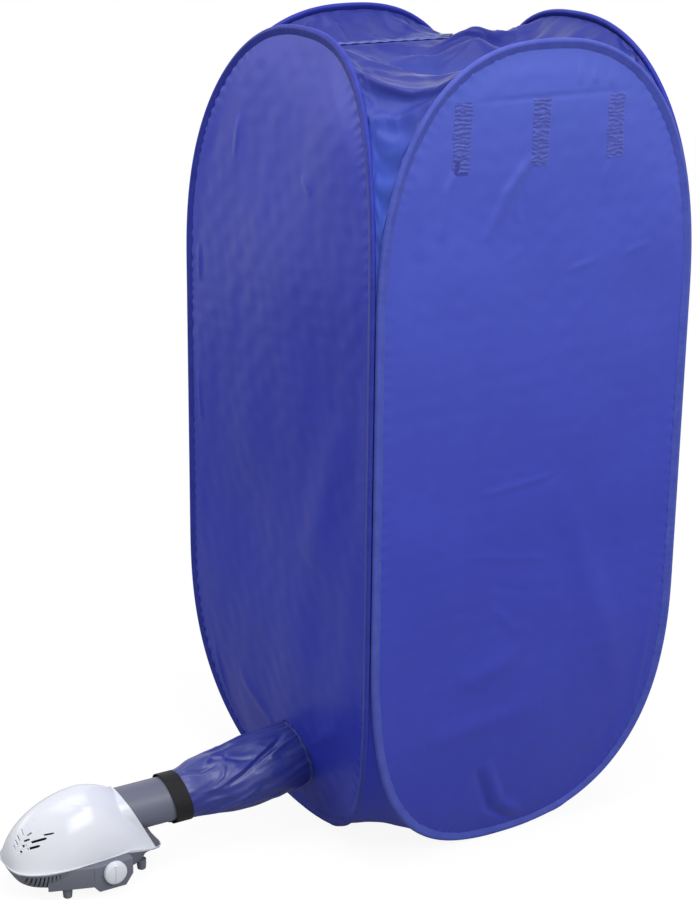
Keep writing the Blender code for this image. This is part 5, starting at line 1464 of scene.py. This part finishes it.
box_piece = piece("timer_housing", together([housing(), flank()]), grey_matt, "front")
cutters = []
for hand in (-1, 1):
    for index in range(9):
        low = HEATER + Vector((min(hand * 0.018, hand * 0.090), -0.118 + 0.006 * index - 0.0013, 0.0285))
        high = HEATER + Vector((max(hand * 0.018, hand * 0.090), -0.118 + 0.006 * index + 0.0013, 0.0505))
        cutters.append(block(low, high))
cut_away(base, together(cutters))
crisp(base, 34)
crisp(box_piece)
print("base faces", len(base.data.polygons))

# %% [markdown]
# ## The strap
# A black webbing strap with a loose square end grips the duct on the outlet. It is a flat band
# wound a little more than once, so that its end lies on its start and stands off below.

# %% Strap
STRAP_START = math.radians(166)
STRAP_TURNS = 1.08


def strap_place(u, v):
    section = np.array([(0.0, 0.0), (1.0, 0.0), (1.0, 0.5), (1.0, 1.0), (0.0, 1.0), (0.0, 0.5), (0.0, 0.0)])
    index = np.rint(v * 6).astype(int)
    across, thick = section[index, 0], section[index, 1]
    angle = STRAP_START + 2 * math.pi * STRAP_TURNS * u
    lap = smooth_step((u - 0.90) / 0.03)
    loosen = smooth_step((u - 0.945) / 0.055)
    radius = 0.0418 + 0.0013 * thick + 0.0016 * lap + 0.0075 * loosen
    radius = radius + 0.0003 * np.sin(5 * angle) * (thick + 0.5)
    y = STRAP_LOW_Y + (STRAP_HIGH_Y - STRAP_LOW_Y) * across + strap_lean(angle)
    x = HEATER.x + radius * np.sin(angle)
    z = TUBE_Z + radius * np.cos(angle)
    return np.stack([x, y, z], axis=1)


wound = loft(160, 6, strap_place, (0.29, 0.064))
strap = piece("strap_band", wound, strap_weave, "front", ["duct_strap"])
caps = bmesh.new()
caps.from_mesh(strap.data)
bmesh.ops.holes_fill(caps, edges=caps.edges, sides=8)
bmesh.ops.recalc_face_normals(caps, faces=caps.faces)
caps.to_mesh(strap.data)
caps.free()
strap.data.shade_smooth()
crisp(strap)
print("strap faces", len(strap.data.polygons))

# %% [markdown]
# ## The zip and the slings
# A coil zip is two woven tapes, each with a row of small nylon teeth at its edge. The teeth could be
# a spiral curve, but at this size short rounded bars read the same and are light. The slings are
# loops of webbing: the CAD loops have the right form, so each is copied and takes a ribbed finish.

# %% Zip and slings
TOOTH_PITCH = 0.0022
ZIP_LOW_Y, ZIP_HIGH_Y, ZIP_Z = 0.0803, 0.4202, 1.2797


def zip_tape_place(hand):
    def place(u, v):
        y = ZIP_LOW_Y + (ZIP_HIGH_Y - ZIP_LOW_Y) * v
        x = ZIP_X + hand * (0.0005 + 0.0113 * u)
        wavy = 0.0005 * np.sin(y * 2 * math.pi / 0.024 + hand) * u
        return np.stack([x, y, ZIP_Z + 0.0003 + wavy + 0.0002 * (1 - u)], axis=1)

    return place


teeth = 0
for hand, name in ((1, "zip_tape_main"), (-1, "zip_tape_strip")):
    tape_shape = loft(8, 170, zip_tape_place(hand), (0.0113, 0.34))
    tape_piece = piece(name + "_cloth", tape_shape, zip_weave_painted_light, "zip", [name])
    row = []
    for number in range(150):
        y = ZIP_LOW_Y + 0.006 + number * TOOTH_PITCH + (TOOTH_PITCH / 2 if hand > 0 else 0)
        edge = ZIP_X - hand * 0.0009
        low = (min(edge, edge + hand * 0.0026), y - 0.00045, ZIP_Z + 0.0004)
        high = (max(edge, edge + hand * 0.0026), y + 0.00045, ZIP_Z + 0.0014)
        row.append(rounded(block(low, high), 0.0002, 1))
    teeth += len(row)
    piece(name + "_teeth", together(row), zip_nylon_painted_light, "zip")

for name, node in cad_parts.items():
    if name.startswith("rod_sling"):
        shape = bmesh.new()
        shape.from_mesh(node.data)
        bmesh.ops.transform(shape, matrix=node.matrix_world, verts=shape.verts)
        loop_piece = piece(name + "_webbing", shape, sling_weave, name.split("_")[2], [name])
        crisp(loop_piece)
print("zip teeth", teeth)

# %% [markdown]
# ## What stays from the CAD model
# Rods, wires, screws, the fan and the rest have their right shape already, so they keep their
# meshes and only take a finish.

# %% Finishes of the kept nodes
kept = {
    steel: ["hoop_wire", "hoop_ferrule", "hanging_rod", "cover_screw", "fan_motor", "motor_shaft",
            "thermal_cutout", "timer_shaft", "zip_slider", "zip_pull"],
    black_moulded: ["fan_impeller", "element_frame", "timer_body", "cord_gland"],
    grey_matt: ["motor_bracket"],
    white_gloss: ["terminal_block"],
    ceramic_grey: ["heating_element"],
}
shown = 0
for finish, starts in kept.items():
    for name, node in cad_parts.items():
        if name.startswith(tuple(starts)):
            for spot in node.material_slots:
                spot.material = finish.material
            shown += 1
print("kept nodes", shown)

# %% [markdown]
# ## Floor and light
# The photograph has a plain white ground and big soft lamps: one overhead, which lights the
# leaning tops of the hoops, and one from the right, so that the right panel is paler than the
# front; its cloth's colour also carries painted light. The floor stays a real floor, so that it
# keeps a faint shadow and throws light back up.

# %% Floor, lamps and world
ground = bmesh.new()
bmesh.ops.create_grid(ground, x_segments=8, y_segments=8, size=5, matrix=Matrix.Translation((1.6, 0.4, 0)))
floor = as_object("studio_floor", ground)
paper = Finish("white_paper", (0.36, 0.36, 0.36), 0.9)
glow = paper.node("ShaderNodeEmission", {}, {"Color": (1, 1, 1, 1), "Strength": 1.31})
rays = paper.node("ShaderNodeLightPath", {}, {}).outputs
seen = Value(paper, rays["Is Camera Ray"])
mirrored = Value(paper, rays["Is Glossy Ray"]) + Value(paper, rays["Is Transmission Ray"])
share = seen * 0.70 + mirrored * 0.05
mixed = paper.node("ShaderNodeMixShader", {}, {0: share, 1: paper.shader.outputs[0], 2: glow.outputs[0]})
paper.put(paper.tree.nodes["Material Output"].inputs["Surface"], mixed.outputs[0])
floor.data.materials.append(paper.material)


def lamp(name, place, aim, size, power):
    light = bpy.data.lights.new(name, "AREA")
    light.shape = "RECTANGLE"
    light.size, light.size_y = size
    light.energy = power
    made = bpy.data.objects.new(name, light)
    bpy.context.scene.collection.objects.link(made)
    direction = Vector(aim) - Vector(place)
    made.matrix_world = Matrix.Translation(place) @ direction.to_track_quat("-Z", "Y").to_matrix().to_4x4()
    return made


lamp("overhead_lamp", (0.3, -0.2, 3.1), (0.1, 0.2, 1.0), (1.8, 1.8), 31)
lamp("right_lamp", (2.9, 0.4, 2.5), (0.2, 0.2, 1.0), (1.6, 1.6), 54)
lamp("left_lamp", (-2.6, -2.6, 2.3), (0.0, 0.0, 1.1), (2.2, 1.4), 29)

world = bpy.data.worlds.new("studio")
bpy.context.scene.world = world
world.use_nodes = True
tree = world.node_tree
path = tree.nodes.new("ShaderNodeLightPath")
seen = path.outputs["Is Camera Ray"]
for ray in ("Is Glossy Ray", "Is Transmission Ray"):
    either = tree.nodes.new("ShaderNodeMath")
    either.operation = "MAXIMUM"
    tree.links.new(seen, either.inputs[0])
    tree.links.new(path.outputs[ray], either.inputs[1])
    seen = either.outputs[0]
mixer = tree.nodes.new("ShaderNodeMix")
tree.links.new(seen, mixer.inputs[0])
mixer.inputs[2].default_value = 0.50
mixer.inputs[3].default_value = 1.0
tree.links.new(mixer.outputs[0], tree.nodes["Background"].inputs["Strength"])
tree.nodes["Background"].inputs["Color"].default_value = (1, 1, 1, 1)
